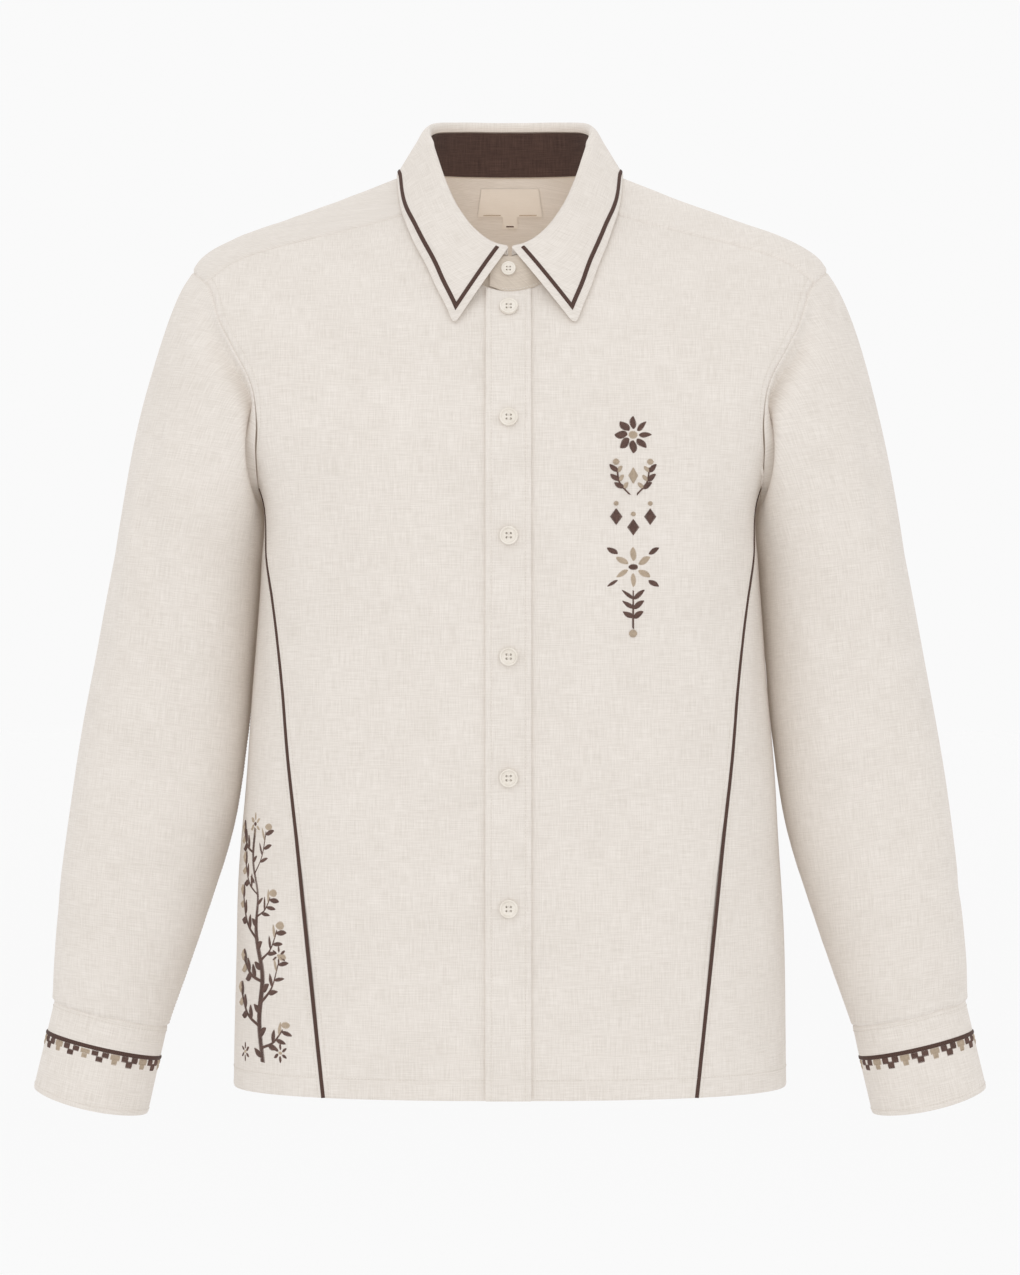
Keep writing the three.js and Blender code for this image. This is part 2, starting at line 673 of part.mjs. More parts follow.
/** A point of the sleeve without its folds: at runs from -1 at the armhole to 0 at the first section. */
function plainSleevePoint(around, at) {
  if (at >= 0) return armPoint(around, at);
  const t = at + 1;
  const leave = capDirection(around);
  const from = bodyPoint(...armholeAround(around)).addScaledVector(leave, SEAM_GAP);
  const to = armPoint(around, 0);
  const chord = from.distanceTo(to);
  return from
    .multiplyScalar((1 + 2 * t) * (1 - t) ** 2)
    .addScaledVector(leave, CAP_PULL.start * chord * t * (1 - t) ** 2)
    .addScaledVector(to, t * t * (3 - 2 * t))
    .addScaledVector(armDirection(0), CAP_PULL.end * chord * t * t * (t - 1));
}

function plainSleeveNormal(around, at) {
  const inside = Math.min(Math.max(at, -0.999), LAST_SECTION - 0.01);
  return normalAt(plainSleevePoint, around, inside, [0.5, 0.001]);
}

/** A point of the sleeve's cloth. */
function sleevePoint(around, at) {
  const depth = foldDepth(SLEEVE_FOLDS, around, at, ["from", "to"]);
  return plainSleevePoint(around, at).addScaledVector(plainSleeveNormal(around, at), -depth);
}

/** The way through the sleeve's wall: round the top of the armhole it follows the body's wall. */
function sleeveNormal(around, at) {
  const inside = Math.min(Math.max(at, -0.99), LAST_SECTION - 0.01);
  const own = normalAt(sleevePoint, around, inside, [0.5, 0.005]);
  if (at > -0.999) return own;
  const share = ease(70, 110, Math.abs(wrap(around)));
  return bodyNormal(...armholeAround(around)).lerp(own, share).normalize();
}

/** The angles round the armhole at which the body's pieces have their corners, in order. */
function armholeStops() {
  const stretches = [
    [AT_FRONT_YOKE, AT_FRONT_SEAM, FRONT_STEPS.armhole],
    [AT_FRONT_SEAM, AT_BACK_SEAM, SIDE_STEPS.across],
    [AT_BACK_SEAM, AT_BACK_YOKE, BACK_STEPS.armhole],
    [AT_BACK_YOKE, ARMHOLE.length + AT_FRONT_YOKE, YOKE_STEPS.armhole],
  ];
  return stretches.flatMap(([from, to, steps]) =>
    shares(steps).slice(0, -1).map((t) => ((from + (to - from) * t) / ARMHOLE.length) * 360),
  );
}

/** The places of the sleeve's mesh: its columns start at the armhole's stops and end evenly spaced. */
function sleevePlaces() {
  const stops = armholeStops();
  const { cap, arm, offset } = SLEEVE_STEPS;
  return Array.from({ length: cap + arm + 1 }, (_, j) => {
    const at = j <= cap ? -1 + j / cap : ((j - cap) / arm) * LAST_SECTION;
    const evened = ease(-1, 1.5, at);
    return stops.map((stop, i) => {
      const even = stops[0] + offset + (i * 360) / stops.length;
      return [stop + (even - stop) * evened, at];
    });
  });
}

/** The left sleeve, a tube from the armhole to the cuff. */
function makeSleeve() {
  return sheet(sleevePoint, sleeveNormal, sleevePlaces(), CLOTH, 0, true);
}

/** The strip on the left sleeve's opening, at the back of the wrist. */
function makeSleeveBand() {
  const { around, columns, rows } = SLEEVE_BAND;
  const places = sleevePlaces().slice(-rows - 1);
  const last = places[rows];
  const first = last.findIndex(([angle]) => angle > around) - Math.ceil(columns / 2);
  const picked = places.map((row) => row.slice(first, first + columns + 1));
  picked[rows] = picked[rows].map(([angle, at]) => [angle, at - 0.02]);
  return sheet(sleevePoint, sleeveNormal, picked, CLOTH, LAYER_GAP + CLOTH);
}

const CUFF_TURN = 360 + CUFF.lap / CUFF.deep / DEGREES;
const cuffTurns = shares(CUFF_STEPS.around).map((t) => t * CUFF_TURN);

/** A point of the left cuff: turn runs from 0 at its inner end to CUFF_TURN at its lapping end. */
function cuffPoint(turn, down) {
  const around = CUFF.lapAngle - CUFF_TURN / 2 + 180 + turn;
  const lift = CUFF.spiral * (turn / 360 - 0.5);
  const share = down / CUFF.length;
  const dip = CUFF_DIP * share ** 2 * Math.max(0, Math.sin(around * DEGREES)) ** 1.5;
  const centre = armCentre(LAST_SECTION).addScaledVector(cuffAxis, down + dip);
  const grow = 1 + (CUFF.flare - 1) * share;
  return ellipsePoint(centre, cuffAxis, CUFF.across * grow + lift, CUFF.deep * grow + lift, around);
}

function cuffNormal(turn, down) {
  return normalAt(cuffPoint, turn, down, [0.2, 0.2]);
}

/** The left cuff, a band lapped over itself. */
function makeCuff() {
  const from = 2 * SEAM_GAP;
  const places = shares(CUFF_STEPS.along).map((t) =>
    cuffTurns.map((turn) => [turn, from + (CUFF.length - from) * t]),
  );
  return sheet(cuffPoint, cuffNormal, places, DOUBLE_CLOTH);
}

/** The braid round the left cuff, from beside the lap to the lapping end. */
function makeCuffBraid() {
  const hidden = CUFF_TURN - 360;
  const path = cuffTurns.filter((turn) => turn > hidden).map((turn) => [turn, CUFF_BRAID_AT]);
  return strip(cuffPoint, cuffNormal, path, BRAID, LAYER_GAP);
}

// ---------------------------------------------------------------------------------------------
// Collar
// ---------------------------------------------------------------------------------------------

const standRadius = column(STAND_TOP, "angle", "radius");
const standZ = column(STAND_TOP, "angle", "z");

/** A point of the stand's outer face without its lap: turn is from the centre back to the left. */
function plainStandPoint(turn, up) {
  const angle = 180 - turn;
  const folded = Math.abs(wrap(angle));
  const high = new THREE.Vector3(
    standRadius(folded) * Math.sin(folded * DEGREES),
    -standRadius(folded) * Math.cos(folded * DEGREES),
    standZ(folded),
  );
  const point = bodyPoint(...neckPlace(folded)).lerp(high, up);
  if (wrap(angle) < 0) point.x = -point.x;
  const away = new THREE.Vector3(Math.sin(angle * DEGREES), -Math.cos(angle * DEGREES), 0);
  return point.addScaledVector(away, STAND_SWELL * Math.sin(Math.PI * up));
}

/** A point of the stand's outer face: the left end stands out at the front and the right end in. */
function standPoint(turn, up) {
  const away = new THREE.Vector3(Math.sin(turn * DEGREES), Math.cos(turn * DEGREES), 0);
  const lap = STAND_LAP_OUT * ease(150, 176, Math.abs(turn)) * Math.sign(turn);
  return plainStandPoint(turn, up).addScaledVector(away, lap);
}

function standNormal(turn, up) {
  return normalAt(standPoint, turn, up, [0.2, 0.002]).negate();
}

/** The turns at which the body's pieces have their corners on the neckline, and those of the lap. */
function standTurns(lapSteps) {
  const yoke = 180 - FRONT_YOKE_NECK_ANGLE;
  const front = 180 - centreEdge(FRONT_EDGES.left)(1)[0];
  const yokeSteps = YOKE_STEPS.back + YOKE_STEPS.armhole;
  const half = [
    ...shares(yokeSteps).map((t) => yoke * t),
    ...shares(FRONT_STEPS.neck).slice(1).map((t) => yoke + (front - yoke) * t),
    ...lapSteps,
  ];
  return [...half.slice(1).reverse().map((turn) => -turn), ...half];
}

/** One layer of the stand, over the given turns, with its corners cut back at a lap. */
function makeStandLayer(turns, foot, thickness, lift) {
  const places = shares(STAND_STEPS.up).map((t) =>
    turns.map((turn) => {
      const lapping = ease(178, 180 + STAND_LAP_ANGLE, Math.abs(turn)) ** 2;
      const [bottom, top] = [foot + 0.06 * lapping, 0.985 - 0.15 * lapping];
      return [turn, bottom + (top - bottom) * t];
    }),
  );
  return sheet(standPoint, standNormal, places, thickness, lift);
}

const fallEdgeX = column(FALL_EDGE, "share", "x");
const fallEdgeY = column(FALL_EDGE, "share", "y");

/** The place on the body's shoulders or upper chest that is seen from above at x and y. */
function placeUnder(x, y) {
  const inside = (z) => {
    const depth = y < 0 ? ring.front(z) : ring.back(z);
    return (Math.abs(x) / ring.side(z)) ** ring.power(z) + (Math.abs(y) / depth) ** ring.power(z);
  };
  const z = -134 + solve((rise) => inside(-134 + rise), 1, 145);
  return [Math.atan2(x, -y) / DEGREES, z];
}

/** The key points of the fall's section, from the stand's top over the roll to the free edge. */
function fallSection(share) {
  const side = share < 0 ? -1 : 1;
  const size = Math.abs(share);
  const turn = (180 - FALL_FRONT_ANGLE) * share;
  const top = plainStandPoint(turn, 1);
  const upward = top.clone().sub(plainStandPoint(turn, 0.9)).normalize();
  const outward = normalAt(plainStandPoint, turn, 0.98, [0.2, 0.002]).negate();
  const roll = FALL_ROLL.map(({ out, up }) =>
    top.clone().addScaledVector(outward, out).addScaledVector(upward, up),
  );
  const place = placeUnder(fallEdgeX(size) + side * POINT_SHIFT * ease(0.6, 1, size), fallEdgeY(size));
  const edge = bodyPoint(...place);
  const away = bodyNormal(...place);
  edge.x *= side;
  away.x *= side;
  edge.addScaledVector(away, DOUBLE_CLOTH + FALL_CLEARANCE);
  const lastRoll = roll[roll.length - 1];
  const fall = [0.3, 0.65].map((t) =>
    lastRoll.clone().lerp(edge, t).addScaledVector(away, FALL_SWELL * Math.sin(Math.PI * t)),
  );
  return [...roll, ...fall, edge];
}

/** A point of the fall's outer face: share is -1 to 1 round the neck, down is 0 to 1 from the stand. */
function fallPoint(share, down) {
  const rows = fallSection(share).map(({ x, y, z }, i) => ({ at: FALL_SPOTS[i], x, y, z }));
  return new THREE.Vector3(...["x", "y", "z"].map((name) => column(rows, "at", name)(down)));
}

function fallNormal(share, down) {
  const inside = [Math.min(Math.max(share, -0.997), 0.997), Math.min(Math.max(down, 0.004), 0.996)];
  return normalAt(fallPoint, ...inside, [0.002, 0.004]);
}

/** How far a place on the fall is from the line through an edge place, along a small step. */
function fallInset(place, edgePlace, step) {
  const onEdge = fallPoint(...edgePlace);
  const along = fallPoint(edgePlace[0] + step[0], edgePlace[1] + step[1]).sub(onEdge).normalize();
  return fallPoint(...place).sub(onEdge).cross(along).length();
}

/** The number between 0 and a bound at which a growing measure reaches its goal. */
function solve(measure, goal, bound) {
  let [low, high] = [0, bound];
  for (let i = 0; i < 30; i++) {
    const middle = (low + high) / 2;
    if (measure(middle) < goal) low = middle;
    else high = middle;
  }
  return (low + high) / 2;
}

/** How far down the braid runs at a share round the fall. */
function braidDown(share) {
  const size = Math.abs(share);
  return 1 - solve((t) => fallInset([size, 1 - t], [size, 1], [-0.01, 0]), BRAID_INSET, 0.4);
}

/** How far round the braid runs beside the front edge, at a place down it. */
function braidShare(down) {
  const step = [0, down < 0.5 ? 0.01 : -0.01];
  return 1 - solve((t) => fallInset([1 - t, down], [1, down], step), BRAID_INSET, 0.3);
}

/** The places of the fall's mesh: its last row but one and outermost columns but one carry the braid. */
function fallPlaces() {
  let corner = { share: 0.95, down: 0.9 };
  for (let i = 0; i < 12; i++) corner = { share: braidShare(corner.down), down: braidDown(corner.share) };
  const { half, rows } = FALL_STEPS;
  const line = (reach, downAt) => {
    const right = shares(half).map((t) => [t * reach, downAt(t * reach)]);
    const all = [...right, [1, downAt(1)]];
    return [...all.slice(1).reverse().map(([share, down]) => [-share, down]), ...all];
  };
  return [
    ...rows.map((down) => line(braidShare(down), () => down)),
    line(corner.share, (share) => (share > corner.share ? corner.down : braidDown(share))),
    line(corner.share, () => 1),
  ];
}

/** The fall, turned down over the stand. */
function makeFall(places) {
  return sheet(fallPoint, fallNormal, places, DOUBLE_CLOTH);
}

/** The braid on the fall: up one front edge, along the free edge and down the other front edge. */
function makeFallBraid(places) {
  const braidRow = places[places.length - 2].slice(1, -1);
  const besideFront = places.slice(4, -2).map((row) => row[row.length - 2]);
  const otherFront = besideFront.map(([share, down]) => [-share, down]);
  return strip(fallPoint, fallNormal, [...otherFront, ...braidRow, ...besideFront.reverse()], BRAID, LAYER_GAP);
}

// ---------------------------------------------------------------------------------------------
// Buttons
// ---------------------------------------------------------------------------------------------

/** A round button with a raised rim, on a surface and facing out. */
function placeButton(name, { radius, thickness, rim, dish, sides }, point, normal) {
  const profile = [
    [0, 0],
    [radius - 1.2, 0],
    [radius, 1],
    [radius, thickness - 0.8],
    [radius - 0.7, thickness],
    [radius - rim, thickness - dish * 0.3],
    [radius - rim - 0.8, thickness - dish],
    [0, thickness - dish],
  ].map(([r, y]) => new THREE.Vector2(r, y));
  const button = new THREE.Mesh(new THREE.LatheGeometry(profile, sides), horn);
  button.name = name;
  button.position.copy(point).addScaledVector(normal, SEAM_GAP);
  button.quaternion.setFromUnitVectors(new THREE.Vector3(0, 1, 0), normal);
  shirt.add(button);
}

/** The buttons of the front band, the stand and the two cuffs. */
function addButtons() {
  BUTTON_HEIGHTS.forEach((z, i) => {
    const place = [angleAtX(BUTTON_X, z), z];
    const normal = bodyNormal(...place);
    const point = bodyPoint(...place).addScaledVector(normal, BAND.gap + DOUBLE_CLOTH);
    placeButton(`button_${i + 1}`, BUTTON, point, normal);
  });
  const onStand = [STAND_BUTTON.turn, STAND_BUTTON.up];
  placeButton("stand_button", SMALL_BUTTON, standPoint(...onStand), standNormal(...onStand));
  const onCuff = [CUFF_TURN - CUFF_BUTTON.fromEnd, CUFF_BUTTON.down];
  const point = cuffPoint(...onCuff);
  const normal = cuffNormal(...onCuff);
  placeButton("cuff_button_left", SMALL_BUTTON, point, normal);
  const flip = new THREE.Vector3(-1, 1, 1);
  placeButton("cuff_button_right", SMALL_BUTTON, point.clone().multiply(flip), normal.clone().multiply(flip));
}

// ---------------------------------------------------------------------------------------------
// The shirt
// ---------------------------------------------------------------------------------------------

const linen = new THREE.MeshStandardMaterial({ color: 0xe8e2da, roughness: 0.9, metalness: 0 });
const dark = new THREE.MeshStandardMaterial({ color: 0x4f3a33, roughness: 0.85, metalness: 0 });
const horn = new THREE.MeshStandardMaterial({ color: 0xe6ded2, roughness: 0.4, metalness: 0 });
const woven = new THREE.MeshStandardMaterial({ color: 0xd9d0c2, roughness: 0.8, metalness: 0 });

const shirt = new THREE.Group();

/** Adds one named piece to the shirt. */
function add(name, geometry, material) {
  const piece = new THREE.Mesh(geometry, material);
  piece.name = name;
  shirt.add(piece);
}

/** Adds the left piece and its mirror image on the right. */
function addPair(name, geometry, material) {
  add(`${name}_left`, geometry, material);
  add(`${name}_right`, mirrored(geometry), material);
}

add("front_left", makeFront(FRONT_EDGES.left), linen);
add("front_right", mirrored(makeFront(-FRONT_EDGES.right)), linen);
addPair("side_panel", makeSide(), linen);
add("back", makeBack(), linen);
add("yoke", makeYoke(), linen);
add("front_band", makeFrontBand(), linen);
addPair("sleeve", makeSleeve(), linen);
addPair("sleeve_band", makeSleeveBand(), linen);
addPair("cuff", makeCuff(), linen);
const lappedTurns = standTurns([180, 180 + STAND_LAP_ANGLE]);
add("collar_stand", makeStandLayer(lappedTurns, STAND_FEET.cloth, STAND_CLOTH, 0), linen);
const liningDepth = -STAND_CLOTH - LAYER_GAP;
add("stand_lining", makeStandLayer(standTurns([180]), STAND_FEET.lining, LINING, liningDepth), dark);
add("collar_fall", makeFall(fallPlaces()), linen);
addPair("seam_braid", makeSeamBraid(), dark);
add("collar_braid", makeFallBraid(fallPlaces()), dark);
addPair("cuff_braid", makeCuffBraid(), dark);
add("label", makeInside(LABEL), woven);
add("size_tab", makeInside(SIZE_TAB), woven);
addButtons();

export default shirt;
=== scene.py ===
"""A long-sleeved linen shirt: its cloth, braid, stitching and embroidery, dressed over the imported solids.

Lengths on the shirt are in millimetres, as its maker would give them, and are turned into metres where a mesh
is made. X runs to the wearer's left, Y to the wearer's back and Z up.
"""

from __future__ import annotations

import logging
import math
from collections.abc import Callable, Sequence
from dataclasses import dataclass, field
from enum import Enum

import bpy
import numpy as np
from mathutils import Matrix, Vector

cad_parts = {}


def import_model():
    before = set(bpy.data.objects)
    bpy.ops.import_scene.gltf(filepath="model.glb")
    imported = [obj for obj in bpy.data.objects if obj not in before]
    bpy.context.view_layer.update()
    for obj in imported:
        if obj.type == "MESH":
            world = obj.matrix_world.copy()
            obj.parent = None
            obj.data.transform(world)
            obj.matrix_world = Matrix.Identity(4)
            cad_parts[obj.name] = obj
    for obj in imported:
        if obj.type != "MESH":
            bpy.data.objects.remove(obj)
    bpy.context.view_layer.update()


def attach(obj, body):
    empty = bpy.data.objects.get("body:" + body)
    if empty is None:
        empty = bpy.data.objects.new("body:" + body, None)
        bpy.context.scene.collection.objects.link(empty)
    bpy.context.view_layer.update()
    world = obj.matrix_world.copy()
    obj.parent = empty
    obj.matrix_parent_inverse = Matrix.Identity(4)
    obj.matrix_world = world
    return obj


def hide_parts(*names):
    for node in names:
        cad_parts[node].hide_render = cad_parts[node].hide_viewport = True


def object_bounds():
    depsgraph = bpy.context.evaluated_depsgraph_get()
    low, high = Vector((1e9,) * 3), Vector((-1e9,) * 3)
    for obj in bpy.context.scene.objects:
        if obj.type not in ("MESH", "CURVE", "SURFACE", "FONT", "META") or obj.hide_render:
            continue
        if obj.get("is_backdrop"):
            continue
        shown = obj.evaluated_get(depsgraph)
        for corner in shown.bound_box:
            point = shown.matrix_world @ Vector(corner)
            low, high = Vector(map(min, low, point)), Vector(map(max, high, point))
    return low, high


Array = np.ndarray
Boundary = Callable[[Array], Array]
Placing = Callable[[Array], tuple[Array, Array]]
Colour = tuple[float, float, float]
Piece = bpy.types.Object
Material = bpy.types.Material
LOG = logging.getLogger("shirt")
MM = 0.001
BODY = "root"


class Slot(Enum):
    """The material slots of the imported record."""

    LINEN = "linen"
    DARK = "dark_trim"
    LABEL = "woven_label"
    BUTTON = "button"


class Held(Enum):
    """How a piece of cloth is held in its shape."""

    HUNG = "hung"
    FOLDED = "folded"


class Edge(Enum):
    """The four edges of a piece of cloth."""

    START = "start"
    END = "end"
    BOTTOM = "bottom"
    TOP = "top"


class Finish(Enum):
    """How an edge of a piece of cloth is finished."""

    SEAM = "sewn to its neighbour"
    TUCKED = "sewn under its neighbour"
    FOLDED = "a folded free edge"
    PLAIN = "left as it is"


Finished = tuple[Finish, Finish, Finish, Finish]
ALL_PLAIN, ALL_FOLDED = (Finish.PLAIN,) * 4, (Finish.FOLDED,) * 4


# ---- Curves ----


def ease(start: float, end: float, at: Array) -> Array:
    """Rises smoothly from 0 at the start to 1 at the end.

    Args:
        start: Where the rise begins.
        end: Where the rise ends.
        at: Where it is read.

    Returns:
        Numbers from 0 to 1.
    """
    t = np.clip((np.asarray(at, float) - start) / (end - start), 0, 1)
    return t * t * (3 - 2 * t)


def unit(vectors: Array) -> Array:
    """Vectors brought to length 1."""
    return vectors / np.maximum(np.linalg.norm(vectors, axis=-1, keepdims=True), 1e-12)


def paired(a: Array, b: Array) -> list[Array]:
    """Two sets of numbers, brought to one shape."""
    return np.broadcast_arrays(np.asarray(a, float), np.asarray(b, float))


def wrap(angle: Array) -> Array:
    """Angles in degrees, brought between -180 and 180."""
    return (np.asarray(angle, float) + 180) % 360 - 180


def solve(measure: Callable[[Array], Array], goal: float | Array, bound: float, count: int) -> Array:
    """Finds the numbers at which a growing measure reaches its goal.

    Args:
        measure: Gives the measure for an array of numbers.
        goal: The value that it should reach.
        bound: The largest number that is tried; the smallest is 0.
        count: How many numbers are looked for side by side.

    Returns:
        One number for each of the count.
    """
    low, high = np.zeros(count), np.full(count, float(bound))
    for _ in range(26):
        middle = (low + high) / 2
        below = measure(middle) < goal
        low, high = np.where(below, middle, low), np.where(below, high, middle)
    return (low + high) / 2


def cubic(start: Array, leaving: Array, end: Array, arriving: Array, t: Array) -> Array:
    """Goes smoothly from one value to another.

    Args:
        start: The value at 0.
        leaving: The slope at 0.
        end: The value at 1.
        arriving: The slope at 1.
        t: Where it is read, from 0 to 1.

    Returns:
        The values.
    """
    early = start * (1 + 2 * t) * (1 - t) ** 2 + leaving * t * (1 - t) ** 2
    return early + end * t * t * (3 - 2 * t) + arriving * t * t * (t - 1)


class Curve:
    """A smooth curve through values that belong to growing keys."""

    def __init__(self, keys: Sequence[float], values: Array) -> None:
        """Sorts the values by key and works out the slopes at them.

        Args:
            keys: The keys, one for each value.
            values: The values, with the keys along their last axis.
        """
        order = np.argsort(keys)
        self.keys = np.asarray(keys, float)[order]
        self.values = np.asarray(values, float)[..., order]
        step = np.diff(self.keys)
        rise = np.diff(self.values) / step
        middle = (rise[..., :-1] * step[1:] + rise[..., 1:] * step[:-1]) / (step[:-1] + step[1:])
        self.slopes = np.concatenate([rise[..., :1], middle, rise[..., -1:]], axis=-1)

    def __call__(self, at: Array) -> Array:
        """The values of the curve, held at its ends beyond them.

        Args:
            at: Where it is read.

        Returns:
            The values, with the places along their last axis.
        """
        at = np.clip(np.asarray(at, float), self.keys[0], self.keys[-1])
        i = np.clip(np.searchsorted(self.keys, at, side="right") - 1, 0, len(self.keys) - 2)
        step = self.keys[i + 1] - self.keys[i]
        t = (at - self.keys[i]) / step

        def pick(table: Array, index: Array) -> Array:
            """The entries of a table at these places along its last axis.

            Args:
                table: The table.
                index: The places.

            Returns:
                The entries.
            """
            if table.ndim == 1:
                return table[index]
            return np.take_along_axis(table, index[..., None], axis=-1)[..., 0]

        leaving, arriving = pick(self.slopes, i) * step, pick(self.slopes, i + 1) * step
        return cubic(pick(self.values, i), leaving, pick(self.values, i + 1), arriving, t)


def curves(rows: Sequence[object], key: str, names: Sequence[str]) -> dict[str, Curve]:
    """Smooth curves through the named columns of a table, read by its key column."""
    keys = [getattr(row, key) for row in rows]
    return {name: Curve(keys, np.array([getattr(row, name) for row in rows])) for name in names}


def loop(rows: Sequence[object], names: Sequence[str], at: Array) -> list[Array]:
    """Reads a smooth closed loop through the columns of a table.

    Args:
        rows: The table's rows.
        names: Its columns.
        at: Where it is read, counted in rows.

    Returns:
        One array for each column.
    """
    at = np.asarray(at, float)
    i = np.floor(at).astype(int)
    t = at - i
    read = []
    for name in names:
        column = np.array([getattr(row, name) for row in rows], float)
        a, b, c, d = (column[(i + k) % len(rows)] for k in (-1, 0, 1, 2))
        read.append(b + 0.5 * t * (c - a + t * (2 * a - 5 * b + 4 * c - d + t * (3 * (b - c) + d - a))))
    return read


# ---- The garment's tables ----


@dataclass(frozen=True)
class Ring:
    """A level section of the body: half width, depths to the front and back, and squareness."""

    z: float
    side: float
    front: float
    back: float
    power: float


@dataclass(frozen=True)
class Place:
    """A place on the body, by angle from the centre front in degrees and by height."""

    z: float
    angle: float


@dataclass(frozen=True)
class SidePoint:
    """A point seen from the side."""

    y: float
    z: float


@dataclass(frozen=True)
class Section:
    """A section square to the sleeve: its centre, its half width and its half depth."""

    x: float
    y: float
    z: float
    across: float
    deep: float
    at: int = 0


@dataclass(frozen=True)
class Direction:
    """A direction in space."""

    x: float
    y: float
    z: float


@dataclass(frozen=True)
class StandTop:
    """The upper edge of the collar stand, by angle from the front."""

    angle: float
    radius: float
    z: float


@dataclass(frozen=True)
class FallEdge:
    """The place under the fall's free edge, by share of the way from the centre back."""

    share: float
    x: float
    y: float


@dataclass(frozen=True)
class Fold:
    """A soft trough in a surface: a bell across and a hump along.

    around and lean are in the surface's first coordinate, start and end in its second; a negative depth is a ridge.
    """

    around: float
    lean: float
    width: float
    start: float
    end: float
    depth: float


@dataclass(frozen=True)
class Crease:
    """A crease in the cloth, placed on the cut piece in millimetres: a negative depth is a ridge."""

    x: float
    y: float
    angle: float
    length: float
    width: float
    depth: float
    bow: float = 0.0


BODY_RINGS = (
    Ring(-706, 215.3, 140, 124, 2.4), Ring(-610, 213.8, 140, 120, 2.4), Ring(-548, 211.4, 140, 117, 2.45),
    Ring(-485, 207.3, 140, 114, 2.5), Ring(-426, 202.6, 139.5, 111, 2.6), Ring(-364, 197.6, 138, 109, 2.75),
    Ring(-301, 193, 135, 109, 3.05), Ring(-254, 192, 132, 110, 3.35), Ring(-208, 213, 126, 112, 3.15),
    Ring(-174, 235, 118, 112, 3.05), Ring(-134, 253, 103, 109, 3), Ring(-112, 256, 92, 107, 2.95),
    Ring(-91, 252, 78, 104, 2.8), Ring(-73, 246.5, 67, 100, 2.5), Ring(-63, 240, 60, 97, 2.35),
    Ring(-47, 213, 48, 92, 2.25), Ring(-32, 171, 35.5, 86, 2.2), Ring(-16, 127, 22, 79, 2.2),
    Ring(-2, 91.5, 11, 74, 2.2), Ring(4, 77.5, 7, 72, 2.2), Ring(11, 65, 4.5, 70.5, 2.2),
)
HEM_Z = -706.0
BODY_FOLDS = (
    Fold(152, -2.94, 11, -150, -640, 3.4), Fold(-156, 1.84, 11, -140, -600, 3),
    Fold(176, -1.48, 10, -330, -700, 2),
)
NECKLINE = (
    Place(-92, -9), Place(-94, 0), Place(-92, 9), Place(-80, 26), Place(-56, 48), Place(-28, 69.3),
    Place(3, 90), Place(6, 116), Place(7, 143), Place(7.5, 180), Place(7, 217),
)
ARMHOLE = (
    SidePoint(0, -72.5), SidePoint(-24, -77), SidePoint(-41, -87), SidePoint(-60, -108), SidePoint(-76, -134),
    SidePoint(-87, -160), SidePoint(-89.5, -184), SidePoint(-82, -208), SidePoint(-62, -234),
    SidePoint(-31, -250), SidePoint(0, -254), SidePoint(25, -250), SidePoint(50, -237), SidePoint(73, -213),
    SidePoint(85, -186), SidePoint(85, -160), SidePoint(77, -134), SidePoint(63, -108), SidePoint(44, -88),
    SidePoint(24, -77.5),
)
AT_FRONT_YOKE = 1.75
AT_FRONT_SEAM = 8.45
AT_BACK_SEAM = 11.9
AT_BACK_YOKE = 16.55
FRONT_SEAM = (
    Place(-706, 50.6), Place(-614, 53.9), Place(-519, 57.2), Place(-450, 60.3), Place(-390, 62.9),
    Place(-329, 67.4), Place(-291, 72.4),
)
BACK_SEAM = (
    Place(-706, 124), Place(-614, 121), Place(-519, 117.5), Place(-450, 115), Place(-390, 112),
    Place(-329, 108.5), Place(-291, 106),
)
FRONT_YOKE_SEAM = (Place(-45, 74.7), Place(-61, 79.3))
FRONT_YOKE_NECK_ANGLE = 69.3
SLEEVE_SECTIONS = (
    Section(251, 0, -301, 57, 75, 0), Section(259.5, -1, -364, 60.5, 67, 1), Section(268, -3, -426, 64, 61, 2),
    Section(277.5, -5, -489, 64, 56, 3), Section(291, -7, -551, 59, 51, 4),
    Section(304.3, -8, -614, 51.4, 44, 5), Section(312.6, -8, -655, 45.2, 38, 6),
)
LAST_SECTION = len(SLEEVE_SECTIONS) - 1
CAP_DIRECTIONS = (
    Direction(0.7, 0, -0.71), Direction(0.62, -0.12, -0.78), Direction(0.55, 0, -0.83),
    Direction(0.62, 0.12, -0.78),
)
CAP_PULL_START, CAP_PULL_END = 0.5, 0.95
SLEEVE_FOLDS = (
    Fold(122, -14, 20, -0.75, 0.9, 3), Fold(205, 20, 20, 1.6, 3.6, 2.4), Fold(250, -22, 20, 2.2, 4.4, 3),
    Fold(300, 8, 22, -0.8, 1, 3), Fold(178, 0, 40, -1, -0.1, -3.8),
)
STAND_TOP = (
    StandTop(0, 73, -66), StandTop(10, 71.5, -62.5), StandTop(24, 68, -51.5), StandTop(41, 65, -32),
    StandTop(55, 63, -14), StandTop(75.5, 63, 12), StandTop(98.5, 66.5, 30.5), StandTop(119.5, 71, 39.5),
    StandTop(146, 72.5, 43.5), StandTop(180, 71.5, 44.5),
)
FALL_EDGE = (
    FallEdge(-0.14, -40, 70.5), FallEdge(0, 0, 75.5), FallEdge(0.14, 40, 70.5), FallEdge(0.29, 74, 46),
    FallEdge(0.415, 86.5, 12), FallEdge(0.545, 86, -21), FallEdge(0.675, 78, -46), FallEdge(0.84, 62, -73.5),
    FallEdge(1, 46.5, -97.5),
)


